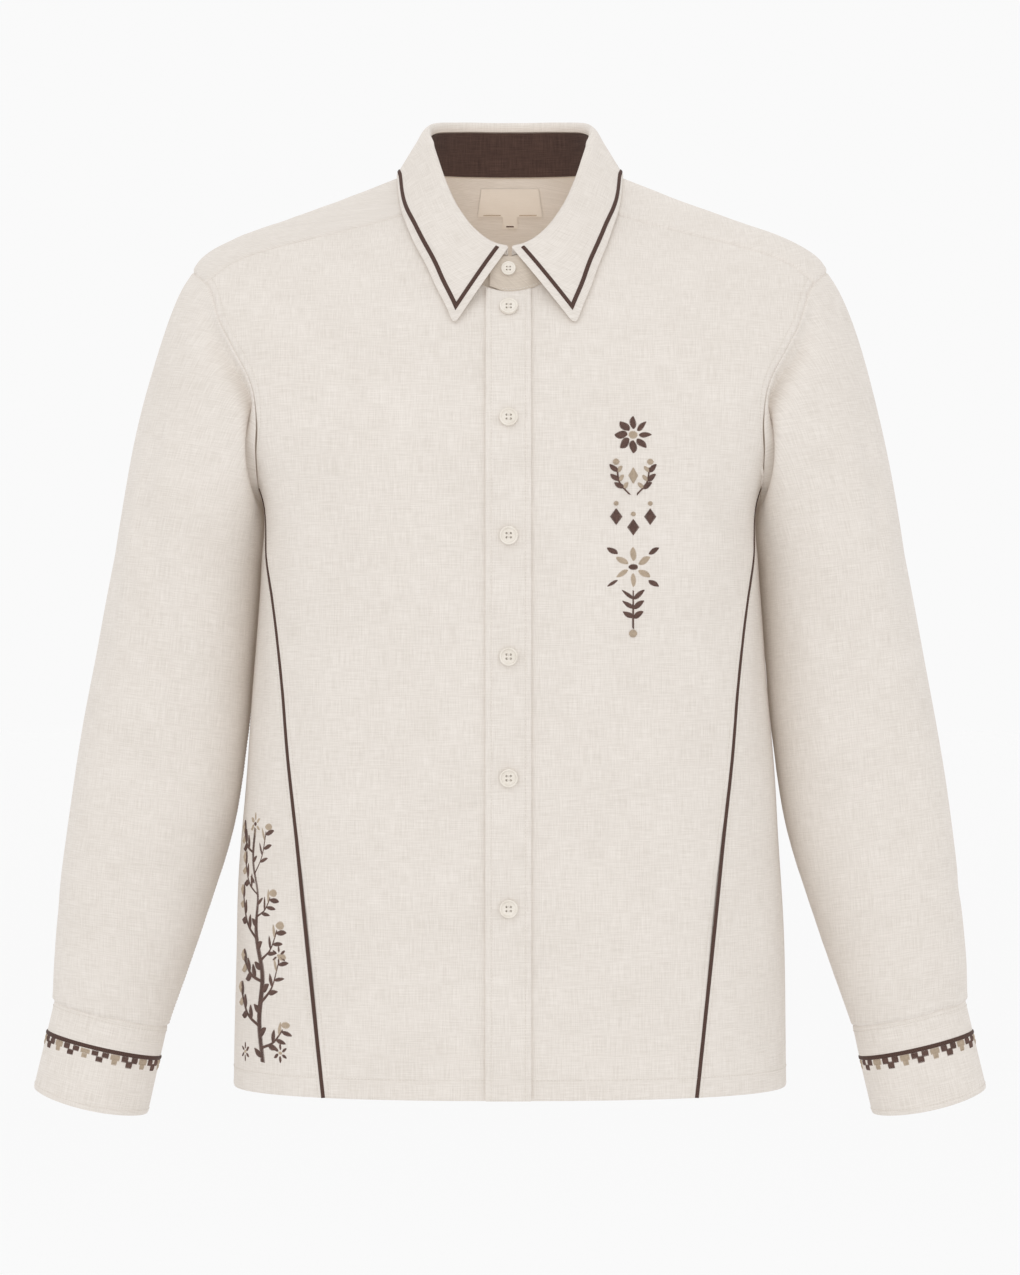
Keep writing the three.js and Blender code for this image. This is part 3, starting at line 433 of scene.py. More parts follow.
def fold_depth(folds: Sequence[Fold], around: Array, along: Array) -> Array:
    """How deep a table of soft troughs is.

    Args:
        folds: The troughs.
        around: First coordinates of the places, in degrees.
        along: Second coordinates of the places.

    Returns:
        The depth at each place.
    """
    depth = np.zeros(np.broadcast(around, along).shape)
    for fold in folds:
        share = np.clip((along - fold.start) / (fold.end - fold.start), 0, 1)
        turn = wrap(around - fold.around - fold.lean * share)
        depth += fold.depth * np.exp(-((turn / fold.width) ** 2)) * np.sin(np.pi * share) ** 1.5
    return depth


def crease_depth(creases: Sequence[Crease], x: Array, y: Array) -> Array:
    """How deep a table of creases is.

    Args:
        creases: The creases.
        x: Places across the cut cloth.
        y: Places along the cut cloth.

    Returns:
        The depth at each place.
    """
    depth = np.zeros(np.shape(x))
    for crease in creases:
        turn = math.radians(crease.angle)
        along = (x - crease.x) * math.cos(turn) + (y - crease.y) * math.sin(turn)
        aside = (y - crease.y) * math.cos(turn) - (x - crease.x) * math.sin(turn)
        share = np.clip(2 * along / crease.length, -1, 1)
        aside = aside - crease.bow * (1 - share**2)
        depth += crease.depth * np.exp(-((aside / crease.width) ** 2)) * np.cos(np.pi / 2 * share) ** 2
    return depth


def undulation(x: Array, y: Array, phase: float) -> Array:
    """The slight unevenness of cloth that hangs.

    Args:
        x: Places across the cloth.
        y: Places along it.
        phase: A number that sets one cloth's waves apart from another's.

    Returns:
        Heights from -1 to 1 or so.
    """
    return 0.5 * (
        np.sin(x / 31 + y / 57 + phase) * np.sin(y / 43 - x / 83 + 2.1 * phase)
        + np.sin(x / 17 - y / 29 + 1.7 * phase) * np.sin(y / 71 + x / 37 + phase)
    )


# ---- Surfaces ----


class Surface:
    """A smooth surface given by two coordinates, with its points in millimetres."""

    steps: tuple[float, float] = (0.05, 0.05)
    outward: float = 1.0

    def point(self, a: Array, b: Array) -> Array:
        """The points at these coordinates."""
        raise NotImplementedError

    def inside(self, a: Array, b: Array) -> tuple[Array, Array]:
        """The coordinates at which a normal is measured instead."""
        return a, b

    def normal(self, a: Array, b: Array) -> Array:
        """The outward normals at these coordinates.

        Args:
            a: First coordinates of the places.
            b: Second coordinates of the places.

        Returns:
            The normals, of length 1.
        """
        a, b = self.inside(np.asarray(a, float), np.asarray(b, float))
        da, db = self.steps
        along_a = self.point(a + da, b) - self.point(a - da, b)
        along_b = self.point(a, b + db) - self.point(a, b - db)
        return self.outward * unit(np.cross(along_a, along_b))


class BodySurface(Surface):
    """The cloth round the body, by angle from the centre front in degrees and by height."""

    row_step, turn_step = 6.0, 1.5
    shoulder_foot, shoulder_rise = -134.0, 145.0

    def __init__(self) -> None:
        """Reads the tables, and unrolls the cloth to find places on it by their distances."""
        ring = curves(BODY_RINGS, "z", ("side", "front", "back", "power"))
        self.side, self.front, self.back, self.power = ring.values()
        self.neck_z = curves(NECKLINE, "angle", ("z",))["z"]
        self.heights = np.arange(HEM_Z - 4, 16, self.row_step)
        self.angles = np.arange(0, 361, self.turn_step)
        grid = self.point(*np.meshgrid(self.angles, self.heights))
        around = np.linalg.norm(np.diff(grid, axis=1), axis=-1)
        upward = np.linalg.norm(np.diff(grid, axis=0), axis=-1)
        self.around = np.pad(np.cumsum(around, 1), ((0, 0), (1, 0)))
        self.upward = np.pad(np.cumsum(upward, 0), ((1, 0), (0, 0)))

    def point(self, a: Array, b: Array) -> Array:
        """The points at these angles and heights.

        Args:
            a: Angles from the centre front.
            b: Heights.

        Returns:
            The points.
        """
        turn, z = np.radians(a), np.asarray(b, float)
        depth = np.where(np.cos(turn) > 0, self.front(z), self.back(z))
        power = self.power(z)
        across = (np.abs(np.sin(turn)) / self.side(z)) ** power
        along = (np.abs(np.cos(turn)) / depth) ** power
        radius = (across + along) ** (-1 / power) - fold_depth(BODY_FOLDS, wrap(a), z)
        return np.stack(np.broadcast_arrays(radius * np.sin(turn), -radius * np.cos(turn), z), -1)

    def cut(self, places: Array) -> Array:
        """The places on the cut cloth, measured round from the centre front and up from the hem.

        Args:
            places: Places on the surface.

        Returns:
            Distances round and up.
        """
        turn, rise = places[..., 0] / self.turn_step, (places[..., 1] - self.heights[0]) / self.row_step
        i = np.clip(turn.astype(int), 0, len(self.angles) - 2)
        j = np.clip(rise.astype(int), 0, len(self.heights) - 2)
        s, t = turn - i, rise - j

        def read(table: Array) -> Array:
            """A table read between its entries."""
            low = table[j, i] * (1 - s) + table[j, i + 1] * s
            return low * (1 - t) + (table[j + 1, i] * (1 - s) + table[j + 1, i + 1] * s) * t

        return np.stack([read(self.around), read(self.upward)], -1)

    def place_beside(self, across: float | Array, z: Array) -> Array:
        """The places this far round the cloth from the centre front, at these heights.

        Args:
            across: Distances round the cloth.
            z: The heights.

        Returns:
            Angles and heights.
        """
        z = np.atleast_1d(np.asarray(z, float))
        across = np.broadcast_to(np.asarray(across, float), z.shape)
        row = np.clip((z - self.heights[0]) / self.row_step, 0, len(self.heights) - 1.001)
        angles = []
        for distance, r in zip(across, row):
            j = int(r)
            line = self.around[j] * (1 - r + j) + self.around[j + 1] * (r - j)
            angles.append(np.interp(distance, line, self.angles))
        return np.stack([np.array(angles), z], -1)

    def angle_at_x(self, x: float, z: Array) -> Array:
        """The angles of the places on the front that are x to the wearer's left."""
        rest = 1 - (abs(x) / self.side(z)) ** self.power(z)
        return np.degrees(np.arctan2(x, self.front(z) * rest ** (1 / self.power(z))))

    def armhole(self, at: Array) -> Array:
        """Places on the armhole, counted in rows of its table.

        Args:
            at: Where it is read.

        Returns:
            Angles and heights.
        """
        y, z = loop(ARMHOLE, ("y", "z"), at)
        depth = np.where(y < 0, self.front(z), self.back(z))
        rest = 1 - (np.abs(y) / depth) ** self.power(z)
        return np.stack([np.degrees(np.arctan2(self.side(z) * rest ** (1 / self.power(z)), -y)), z], -1)

    def neck(self, angle: Array) -> Array:
        """Places on the neckline at these angles."""
        angle = np.asarray(angle, float)
        return np.stack([angle, self.neck_z(np.abs(wrap(angle)))], -1)

    def under(self, x: Array, y: Array) -> Array:
        """The places on the shoulders or the upper chest that are seen from above at x and y.

        Args:
            x: How far it is to the wearer's left.
            y: How far it is to the wearer's back.

        Returns:
            Angles and heights.
        """
        shape = np.shape(x)
        x, y = np.ravel(x), np.ravel(y)

        def reach(rise: Array) -> Array:
            """Over 1 once the body at this height is narrower than the place.

            Args:
                rise: Heights above the shoulders' foot.

            Returns:
                How far out of the ring the place is, 1 being on it.
            """
            z = rise + self.shoulder_foot
            depth = np.where(y < 0, self.front(z), self.back(z))
            return (np.abs(x) / self.side(z)) ** self.power(z) + (np.abs(y) / depth) ** self.power(z)

        z = solve(reach, 1, self.shoulder_rise, x.size) + self.shoulder_foot
        return np.stack([np.degrees(np.arctan2(x, -y)), z], -1).reshape(*shape, 2)


class SleeveSurface(Surface):
    """The left sleeve: degrees round it from the outside by the front, and sections down from the armpit."""

    steps = (0.5, 0.005)
    gap = 0.1
    power = 2.45

    def __init__(self, body: BodySurface) -> None:
        """Reads the sections.

        Args:
            body: The surface whose armhole the sleeve leaves.
        """
        self.body = body
        section = curves(SLEEVE_SECTIONS, "at", ("x", "y", "z", "across", "deep"))
        self.x, self.y, self.z, self.across, self.deep = section.values()
        self.cuff_axis = unit(np.array([15.4, 0.5, -66.0]))

    def centre(self, at: Array) -> Array:
        """The middle of the sleeve."""
        return np.stack([self.x(at), self.y(at), self.z(at)], -1)

    def direction(self, at: Array) -> Array:
        """The direction of the arm, which ends as the cuff's.

        Args:
            at: Where it is read.

        Returns:
            The directions, of length 1.
        """
        before, after = np.maximum(at - 0.01, 0), np.minimum(at + 0.01, LAST_SECTION)
        own = unit(self.centre(after) - self.centre(before))
        return unit(own + (self.cuff_axis - own) * ease(LAST_SECTION - 0.8, LAST_SECTION, at)[..., None])

    @staticmethod
    def ellipse(
        centre: Array, direction: Array, across: Array, deep: Array, around: Array, power: float | Array = 2.0
    ) -> Array:
        """Points of ellipses, or of squarer rounds, square to their directions.

        Args:
            centre: The ellipses' centres.
            direction: The directions that they are square to.
            across: Their half widths away from the body.
            deep: Their half depths.
            around: Degrees round them, from the outside by the front.
            power: How square they are; 2 is an ellipse.

        Returns:
            The points.
        """
        turn = np.radians(around)[..., None]
        side, depth = np.cos(turn), np.sin(turn)
        power = np.asarray(power, float)[..., None]
        radius = (np.abs(side) ** power + np.abs(depth) ** power) ** (-1 / power)
        back = unit(np.array([0.0, 1.0, 0.0]) - direction * direction[..., 1:2])
        out = np.cross(direction, back)
        out = out * np.sign(out[..., :1])
        return centre + radius * (out * across[..., None] * side - back * deep[..., None] * depth)

    def arm(self, around: Array, at: Array) -> Array:
        """Points of the sleeve below the armpit."""
        power = self.power + (2 - self.power) * ease(LAST_SECTION - 2.5, LAST_SECTION, at)
        return self.ellipse(self.centre(at), self.direction(at), self.across(at), self.deep(at), around, power)

    def plain(self, around: Array, at: Array) -> Array:
        """Points of the sleeve without its folds.

        Args:
            around: Degrees round the sleeve.
            at: Sections down from the armpit.

        Returns:
            The points.
        """
        around, at = paired(around, at)
        below = self.arm(around, np.maximum(at, 0))
        t = np.clip(at + 1, 0, 1)[..., None]
        leave = unit(np.stack(loop(CAP_DIRECTIONS, ("x", "y", "z"), around / 90), -1))
        hole = self.body.armhole(around / 360 * len(ARMHOLE))
        start = self.body.point(hole[..., 0], hole[..., 1]) + leave * self.gap
        end = self.arm(around, np.zeros_like(at))
        chord = np.linalg.norm(end - start, axis=-1, keepdims=True)
        arrive = self.direction(np.zeros_like(at)) * CAP_PULL_END * chord
        cap = cubic(start, leave * CAP_PULL_START * chord, end, arrive, t)
        return np.where((at >= 0)[..., None], below, cap)

    def plain_normal(self, around: Array, at: Array) -> Array:
        """Normals of the sleeve without its folds.

        Args:
            around: Degrees round the sleeve.
            at: Sections down from the armpit.

        Returns:
            The normals.
        """
        inside = np.clip(at, -0.999, LAST_SECTION - 0.01)
        along_a = self.plain(around + 0.5, inside) - self.plain(around - 0.5, inside)
        along_b = self.plain(around, inside + 0.001) - self.plain(around, inside - 0.001)
        return unit(np.cross(along_a, along_b))

    def point(self, a: Array, b: Array) -> Array:
        """The points of the sleeve's cloth."""
        a, b = paired(a, b)
        return self.plain(a, b) - self.plain_normal(a, b) * fold_depth(SLEEVE_FOLDS, a, b)[..., None]

    def inside(self, a: Array, b: Array) -> tuple[Array, Array]:
        """Keeps the measured place between the armhole and the cuff."""
        return a, np.clip(b, -0.99, LAST_SECTION - 0.01)


class CuffSurface(Surface):
    """The left cuff: degrees from its inner end to its lapping end, and millimetres down it."""

    steps = (0.2, 0.2)
    length, across, deep = 65.0, 45.0, 36.0
    lap_angle, lap, flare, spiral, dip = 285.0, 24.0, 1.01, 2.5, 4.0

    def __init__(self, sleeve: SleeveSurface) -> None:
        """Places the cuff at the end of the sleeve.

        Args:
            sleeve: The sleeve's surface.
        """
        self.sleeve = sleeve
        self.full_turn = 360 + math.degrees(self.lap / self.deep)
        turns = np.linspace(0, self.full_turn, 400)
        points = self.point(turns, np.full(400, 25.0))
        self.turns = turns
        self.lengths = np.pad(np.cumsum(np.linalg.norm(np.diff(points, axis=0), axis=-1)), (1, 0))

    def point(self, a: Array, b: Array) -> Array:
        """The points at these turns and distances down.

        Args:
            a: Degrees from its inner end.
            b: Distances down.

        Returns:
            The points.
        """
        a, b = paired(a, b)
        around = self.lap_angle - self.full_turn / 2 + 180 + a
        lift = self.spiral * (a / 360 - 0.5)
        share = b / self.length
        dip = self.dip * share**2 * np.maximum(0, np.sin(np.radians(around))) ** 1.5
        axis = self.sleeve.cuff_axis
        centre = self.sleeve.centre(np.full(a.shape, float(LAST_SECTION))) + axis * (b + dip)[..., None]
        grow = 1 + (self.flare - 1) * share
        direction = np.broadcast_to(axis, centre.shape)
        return SleeveSurface.ellipse(centre, direction, self.across * grow + lift, self.deep * grow + lift, around)

    def place(self, along: Array, down: Array) -> Array:
        """The places this far round the cuff from its inner end, and this far down."""
        return np.stack([np.interp(along, self.lengths, self.turns), down], -1)


class StandSurface(Surface):
    """The collar stand's outer face: degrees from the centre back to the left, and 0 to 1 up."""

    steps = (0.2, 0.002)
    outward = -1.0
    swell = 1.2

    def __init__(self, body: BodySurface, lap_out: float) -> None:
        """Reads the stand's upper edge.

        Args:
            body: The surface that the stand is sewn to.
            lap_out: How far the lapping end stands out, and the other one in.
        """
        self.body = body
        self.lap_out = lap_out
        top = curves(STAND_TOP, "angle", ("radius", "z"))
        self.radius, self.z = top.values()

    def point(self, a: Array, b: Array) -> Array:
        """The points at these turns and heights.

        Args:
            a: Degrees from the centre back.
            b: Shares of the way up.

        Returns:
            The points.
        """
        a, b = paired(a, b)
        angle = 180 - a
        folded = np.abs(wrap(angle))
        turn = np.radians(folded)
        high = np.stack([self.radius(folded) * np.sin(turn), -self.radius(folded) * np.cos(turn), self.z(folded)], -1)
        neck = self.body.neck(folded)
        low = self.body.point(neck[..., 0], neck[..., 1])
        point = low + (high - low) * b[..., None]
        point[..., 0] = np.where(wrap(angle) < 0, -point[..., 0], point[..., 0])
        away = np.stack([np.sin(np.radians(angle)), -np.cos(np.radians(angle)), np.zeros_like(angle)], -1)
        out = self.swell * np.sin(np.pi * b) + self.lap_out * ease(150, 176, np.abs(a)) * np.sign(a)
        return point + away * out[..., None]


class FallSurface(Surface):
    """The collar fall's outer face: -1 to 1 round the neck from the right, and 0 to 1 down from the stand."""

    steps = (0.002, 0.004)
    spots = (0, 0.07, 0.14, 0.2, 0.27, 0.48, 0.74, 1)
    roll = ((-2.6, 0.35), (-2.9, 3.5), (-1.6, 6.4), (0.9, 7.6), (3.2, 5.4))
    clearance, cloth, swell, point_shift, front_angle = 1.4, 2.0, 1.2, 3.5, 1.2
    inset, narrowing = 7.5, 3.6

    def __init__(self, body: BodySurface) -> None:
        """Reads the fall's free edge.

        Args:
            body: The surface that the fall lies over.
        """
        self.body = body
        self.stand = StandSurface(body, 0.0)
        edge = curves(FALL_EDGE, "share", ("x", "y"))
        self.edge_x, self.edge_y = edge.values()

    def section(self, share: Array) -> Array:
        """The key points of the fall's sections, from the stand's top over the roll to the free edge.

        Args:
            share: Shares of the way round.

        Returns:
            The key points, along the last axis.
        """
        side, size = np.where(share < 0, -1.0, 1.0), np.abs(share)
        turn = (180 - self.front_angle) * share
        top = self.stand.point(turn, np.ones_like(turn))
        upward = unit(top - self.stand.point(turn, np.full_like(turn, 0.9)))
        outward = self.stand.normal(turn, np.full_like(turn, 0.98))
        roll = [top + outward * out + upward * up for out, up in self.roll]
        x = self.edge_x(size) + side * self.point_shift * ease(0.6, 1, size)
        place = self.body.under(x, self.edge_y(size))
        flip = np.stack([side, np.ones_like(side), np.ones_like(side)], -1)
        away = self.body.normal(place[..., 0], place[..., 1]) * flip
        edge = self.body.point(place[..., 0], place[..., 1]) * flip + away * (self.cloth + self.clearance)
        fall = [
            roll[-1] + (edge - roll[-1]) * t + away * self.swell * math.sin(math.pi * t)
            for t in (0.3, 0.65)
        ]
        return np.stack([*roll, *fall, edge], -1)

    def point(self, a: Array, b: Array) -> Array:
        """The points at these shares round and down.

        Args:
            a: Shares round.
            b: Shares down.

        Returns:
            The points.
        """
        a, b = paired(a, b)
        known, index = np.unique(np.round(a, 7), return_inverse=True)
        sections = self.section(known)[index.reshape(a.shape)]
        return np.stack([Curve(self.spots, sections[..., k, :])(b) for k in range(3)], -1)

    def inside(self, a: Array, b: Array) -> tuple[Array, Array]:
        """Keeps the measured place inside the fall's edges."""
        return np.clip(a, -0.997, 0.997), np.clip(b, 0.004, 0.996)

    def off_edge(self, a: Array, b: Array, edge_a: Array, edge_b: Array, step: tuple[float, float]) -> Array:
        """How far places are from the line through edge places, along a small step.

        Args:
            a: Shares round of the places.
            b: Shares down of the places.
            edge_a: Shares round of the edge places.
            edge_b: Shares down of the edge places.
            step: The step along the edge.

        Returns:
            The distances.
        """
        on_edge = self.point(edge_a, edge_b)
        along = unit(self.point(edge_a + step[0], edge_b + step[1]) - on_edge)
        return np.linalg.norm(np.cross(self.point(a, b) - on_edge, along), axis=-1)

    def down_at(self, share: Array) -> Array:
        """How far down the braid runs at these shares round the fall.

        Args:
            share: Shares of the way round.

        Returns:
            Shares of the way down.
        """
        size = np.abs(np.atleast_1d(share))
        ones = np.ones_like(size)
        inset = self.inset - self.narrowing * np.exp(-(((size - 0.5) / 0.16) ** 2))
        return 1 - solve(lambda t: self.off_edge(size, 1 - t, size, ones, (-0.01, 0)), inset, 0.4, size.size)

    def share_at(self, down: Array) -> Array:
        """How far round the braid runs beside the front edge, at these places down it.

        Args:
            down: Shares of the way down.

        Returns:
            Shares of the way round.
        """
        down = np.atleast_1d(down)
        ones = np.ones_like(down)
        return 1 - solve(
            lambda t: self.off_edge(1 - t, down, ones, down, (0, -0.01)), self.inset, 0.3, down.size
        )

    def braid_path(self) -> Array:
        """The braid's places: up one front edge, along the free edge and down the other front edge.

        Returns:
            Shares round and down.
        """
        share, down = np.array([0.95]), np.array([0.9])
        for _ in range(12):
            share, down = self.share_at(down), self.down_at(share)
        beside = np.linspace(0.3, down[0], 90)
        front = np.stack([self.share_at(beside), beside], -1)
        shares = np.linspace(-share[0], share[0], 420)
        middle = np.stack([shares, self.down_at(shares)], -1)
        return np.concatenate([front[:-1] * (-1, 1), middle, front[-2::-1]])


# ---- Grids of points ----


def joined(first: Boundary, second: Boundary, share: float) -> Boundary:
    """Two boundary curves end to end, meeting at a share of the way.

    Args:
        first: The first curve.
        second: The second one.
        share: Where they meet.

    Returns:
        The whole curve.
    """

    def both(t: Array) -> Array:
        """The places of the first curve, then of the second.

        Args:
            t: Shares of the way along both.

        Returns:
            The places.
        """
        t = np.asarray(t, float)
        early = first(np.clip(t / share, 0, 1))
        late = second(np.clip((t - share) / (1 - share), 0, 1))
        return np.where((t <= share)[..., None], early, late)

    return both


def straight(start: Array, end: Array) -> Boundary:
    """A straight run between two places."""
    return lambda t: start + (end - start) * np.asarray(t, float)[..., None]


def other_side(edge: Boundary) -> Boundary:
    """The same run on the wearer's other side, going on round the body."""
    return lambda t: edge(t) * (-1, 1) + (360, 0)


def fill(bottom: Boundary, top: Boundary, start: Boundary, end: Boundary, u: Array, v: Array) -> Array:
    """Places inside four boundary curves.

    Args:
        bottom: The lower boundary, from start to end.
        top: The upper boundary, from start to end.
        start: The boundary at the start, from bottom to top.
        end: The boundary at the end, from bottom to top.
        u: Shares across, one for each column.
        v: Shares up, one for each row.

    Returns:
        Rows of columns of places.
    """
    low, high = bottom(u)[None], top(u)[None]
    near, far = start(v)[:, None], end(v)[:, None]
    across, up = u[None, :, None], v[:, None, None]
    corners = (1 - up) * ((1 - across) * low[:, :1] + across * low[:, -1:]) + up * (
        (1 - across) * high[:, :1] + across * high[:, -1:]
    )
    return (1 - up) * low + up * high + (1 - across) * near + across * far - corners


def crowded(steps: int, length: float, near_start: bool = True, near_end: bool = True) -> Array:
    """Even shares from 0 to 1, with a few more close to the asked ends.

    Args:
        steps: How many even steps there are.
        length: The real length of the run.
        near_start: Whether more shares stand near 0.
        near_end: Whether more shares stand near 1.

    Returns:
        The shares, growing.
    """
    close = np.array([0.5, 1.0, 1.7, 2.6]) / length
    close = close[close < 0.8 / steps]
    extra = np.concatenate([close if near_start else [], 1 - close if near_end else []])
    return np.unique(np.round(np.concatenate([np.linspace(0, 1, steps + 1), extra]), 9))


def running(points: Array, axis: int) -> Array:
    """The distances run along one axis of a grid of points."""
    steps = np.linalg.norm(np.diff(points, axis=axis), axis=-1)
    return np.concatenate([np.zeros_like(np.take(steps, [0], axis=axis)), np.cumsum(steps, axis=axis)], axis=axis)


def along_line(table: Array, run: Array, at: Array) -> Array:
    """The rows of a table at these distances along its line."""
    return np.stack([np.interp(at, run, column) for column in table.T], -1)


def unrolled(points: Array, row: int, column: int) -> Array:
    """Places on the flat pattern of a piece of cloth, true to the distances along its rows and columns.

    Args:
        points: Rows of columns of points on the cloth, from its top down.
        row: The row that is level on the pattern.
        column: The column that is upright on the pattern.

    Returns:
        The places, measured across from the column and up from the row.
    """
    down = running(points, 0)
    up = down[row] - down
    step = np.linalg.norm(np.diff(points, axis=1), axis=-1)
    across = np.sqrt(np.maximum(step**2 - np.diff(up, axis=1) ** 2, (0.3 * step) ** 2))
    across = np.pad(np.cumsum(across, 1), ((0, 0), (1, 0)))
    return np.stack([across - across[:, column : column + 1], up], -1)


@dataclass
class Grid:
    """A laid piece of cloth: rows of columns of points, with normals and places on the cut cloth."""

    points: Array
    normals: Array
    cut: Array

    def mirrored(self) -> Grid:
        """The same piece on the wearer's other side."""
        flip = np.array([-1.0, 1.0, 1.0])
        return Grid(self.points[:, ::-1] * flip, self.normals[:, ::-1] * flip, self.cut[:, ::-1] * (-1, 1))

    def line(self, edge: Edge, inset: float, start: float = 0.0, end: float = 1.0) -> tuple[Array, Array]:
        """A line on the cloth beside one of its edges.

        Args:
            edge: The edge that it follows.
            inset: How far it is from that edge.
            start: Where it starts, as a share of the edge.
            end: Where it ends, as a share of the edge.

        Returns:
            Its points and the normals at them.
        """
        points, normals = self.points, self.normals
        if edge in (Edge.BOTTOM, Edge.TOP):
            points, normals = points.swapaxes(0, 1), normals.swapaxes(0, 1)
        if edge in (Edge.END, Edge.TOP):
            points, normals = points[:, ::-1], normals[:, ::-1]
        first, last = int(start * (len(points) - 1)), int(round(end * (len(points) - 1)))
        points, normals = points[first : last + 1], normals[first : last + 1]
        away = running(points, 1)
        place, face = (
            np.array([along_line(row, run, inset) for row, run in zip(table, away)]) for table in (points, normals)
        )
        return place, unit(face)


@dataclass(frozen=True)
class Gully:
    """A valley beside a piece's top edge: where it is along it, in shares, its reach at both ends and its depth."""

    start: float
    end: float
    reach: tuple[float, float]
    depth: float

    def relief(self, share: Array, away: Array) -> Array:
        """How deep the valley is at these shares along the edge and distances from it.

        Args:
            share: Shares of the way along the edge.
            away: Distances from it.

        Returns:
            The depths.
        """
        along = np.clip((share - self.start) / (self.end - self.start), 0, 1)
        near = away / (self.reach[0] + (self.reach[1] - self.reach[0]) * along)
        return self.depth * np.sin(np.pi * along) ** 1.2 * (near * np.exp(1 - near)) ** 2.5


def edge_distances(points: Array) -> dict[Edge, Array]:
    """How far each point of a grid is from each edge.

    Args:
        points: Rows of columns of points.

    Returns:
        The distances, by edge.
    """
    across, up = running(points, 1), running(points, 0)
    return {
        Edge.START: across,
        Edge.END: across[:, -1:] - across,
        Edge.BOTTOM: up,
        Edge.TOP: up[-1:] - up,
    }


def edge_relief(finish: Finish, away: Array, along: Array) -> Array:
    """How far the cloth dips beside an edge.

    Args:
        finish: How the edge is finished.
        away: Distances from the edge.
        along: Distances along the edge.

    Returns:
        The dip; a negative one is a swell.
    """
    if finish is Finish.PLAIN:
        return np.zeros_like(away)
    if finish is Finish.FOLDED:
        return 0.5 * np.exp(-((away / 0.7) ** 2)) - 0.12 * np.exp(-(((away - 3) / 1.6) ** 2))
    pucker = np.sin(along / 3.1) * np.sin(along / 11 + 1) + 0.6 * np.sin(along / 5.3 + 2)
    swell = 0.3 * np.exp(-(((away - 3.1) / 1.7) ** 2))
    return 0.95 * np.exp(-((away / 1.0) ** 2)) - swell + 0.08 * pucker * np.exp(-away / 9)


def tuck(grid: Grid, edge: Edge, reach: float = 2.2, drop: float = 1.5) -> Grid:
    """A grid with one more row or column, which runs in under its neighbour.

    Args:
        grid: The grid.
        edge: The edge that is carried on.
        reach: How far it runs in.
        drop: How far under the neighbour it lies.

    Returns:
        The longer grid.
    """
    axis = 1 if edge in (Edge.START, Edge.END) else 0
    at, beside = (0, 1) if edge in (Edge.START, Edge.BOTTOM) else (-1, -2)
    tables = (grid.points, grid.normals, grid.cut)
    last, normal, cut = (np.take(table, [at], axis=axis) for table in tables)
    before, _, cut_before = (np.take(table, [beside], axis=axis) for table in tables)
    added = (last + unit(last - before) * reach - normal * drop, normal, cut + (cut - cut_before))
    pairs = ((new, old) if at == 0 else (old, new) for new, old in zip(added, tables))
    return Grid(*(np.concatenate(pair, axis) for pair in pairs))


def lay(
    surface: Surface,
    places: Array,
    edges: Finished = ALL_PLAIN,
    lift: float = 0.0,
    creases: Sequence[Crease] = (),
    uneven: float = 0.0,
    phase: float = 0.0,
    level: int = 0,
    gullies: Sequence[Gully] = (),
) -> Grid:
    """Lays a piece of cloth on a surface.

    Args:
        surface: The surface.
        places: Rows of columns of places on it.
        edges: How the start, end, bottom and top are finished.
        lift: How far its outer face stands off the surface.
        creases: Its creases.
        uneven: How deep its slight unevenness is.
        phase: Which unevenness it has.
        level: The row that is level on the flat pattern, where the surface isn't the body's.
        gullies: The valleys beside its top edge.

    Returns:
        The laid piece.
    """
    a, b = places[..., 0], places[..., 1]
    if surface.outward < 0:
        a, b = a[:, ::-1], b[:, ::-1]
    points = surface.point(a, b)
    normals = surface.normal(a, b)
    if isinstance(surface, BodySurface):
        cut = surface.cut(np.stack([a, b], -1))
    else:
        cut = unrolled(points, level, points.shape[1] // 2)
    away = edge_distances(points)
    free = np.minimum.reduce([*away.values(), np.full(a.shape, 40.0)]) / 40
    relief = crease_depth(creases, cut[..., 0], cut[..., 1])
    relief = relief + uneven * undulation(cut[..., 0], cut[..., 1], phase) * ease(0, 1, free)
    for gully in gullies:
        share = away[Edge.START] / (away[Edge.START] + away[Edge.END])
        relief = relief + gully.relief(share, away[Edge.BOTTOM])
    for edge, finish in zip(Edge, edges):
        along = away[Edge.BOTTOM if edge in (Edge.START, Edge.END) else Edge.START]
        relief = relief + edge_relief(finish, away[edge], along)
    grid = Grid(points + normals * (lift - relief)[..., None], normals, cut)
    for edge, finish in zip(Edge, edges):
        if finish is Finish.TUCKED:
            grid = tuck(grid, edge)
    return grid


# ---- Meshes ----


def select_none() -> None:
    """Selects no object."""
    bpy.ops.object.select_all(action="DESELECT")


def only(piece: Piece) -> None:
    """Selects one object and nothing else.

    Args:
        piece: The object.
    """
    select_none()
    piece.select_set(True)
    bpy.context.view_layer.objects.active = piece


def apply_modifier(piece: Piece, kind: str, **settings: object) -> None:
    """Adds a modifier to a piece and applies it.

    Args:
        piece: The piece.
        kind: The kind of modifier.
        settings: Its settings.
    """
    only(piece)
    bpy.ops.object.modifier_add(type=kind)
    modifier = piece.modifiers[-1]
    for name, value in settings.items():
        setattr(modifier, name, value)
    bpy.ops.object.modifier_apply(modifier=modifier.name)


def smooth(piece: Piece, angle: float = 40.0) -> None:
    """Shades a piece smooth, but for edges sharper than an angle in degrees."""
    only(piece)
    bpy.ops.object.shade_smooth_by_angle(angle=math.radians(angle))


def dress(piece: Piece, material: Material, nodes: Sequence[str]) -> None:
    """Gives a piece its material and its body, and hides the imported nodes that it stands for.

    Args:
        piece: The piece.
        material: Its material.
        nodes: The nodes that it stands for.
    """
    piece.data.materials.clear()
    piece.data.materials.append(material)
    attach(piece, BODY)
    if nodes:
        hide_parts(*nodes)
    LOG.info("%s: %d faces", piece.name, len(piece.data.polygons))


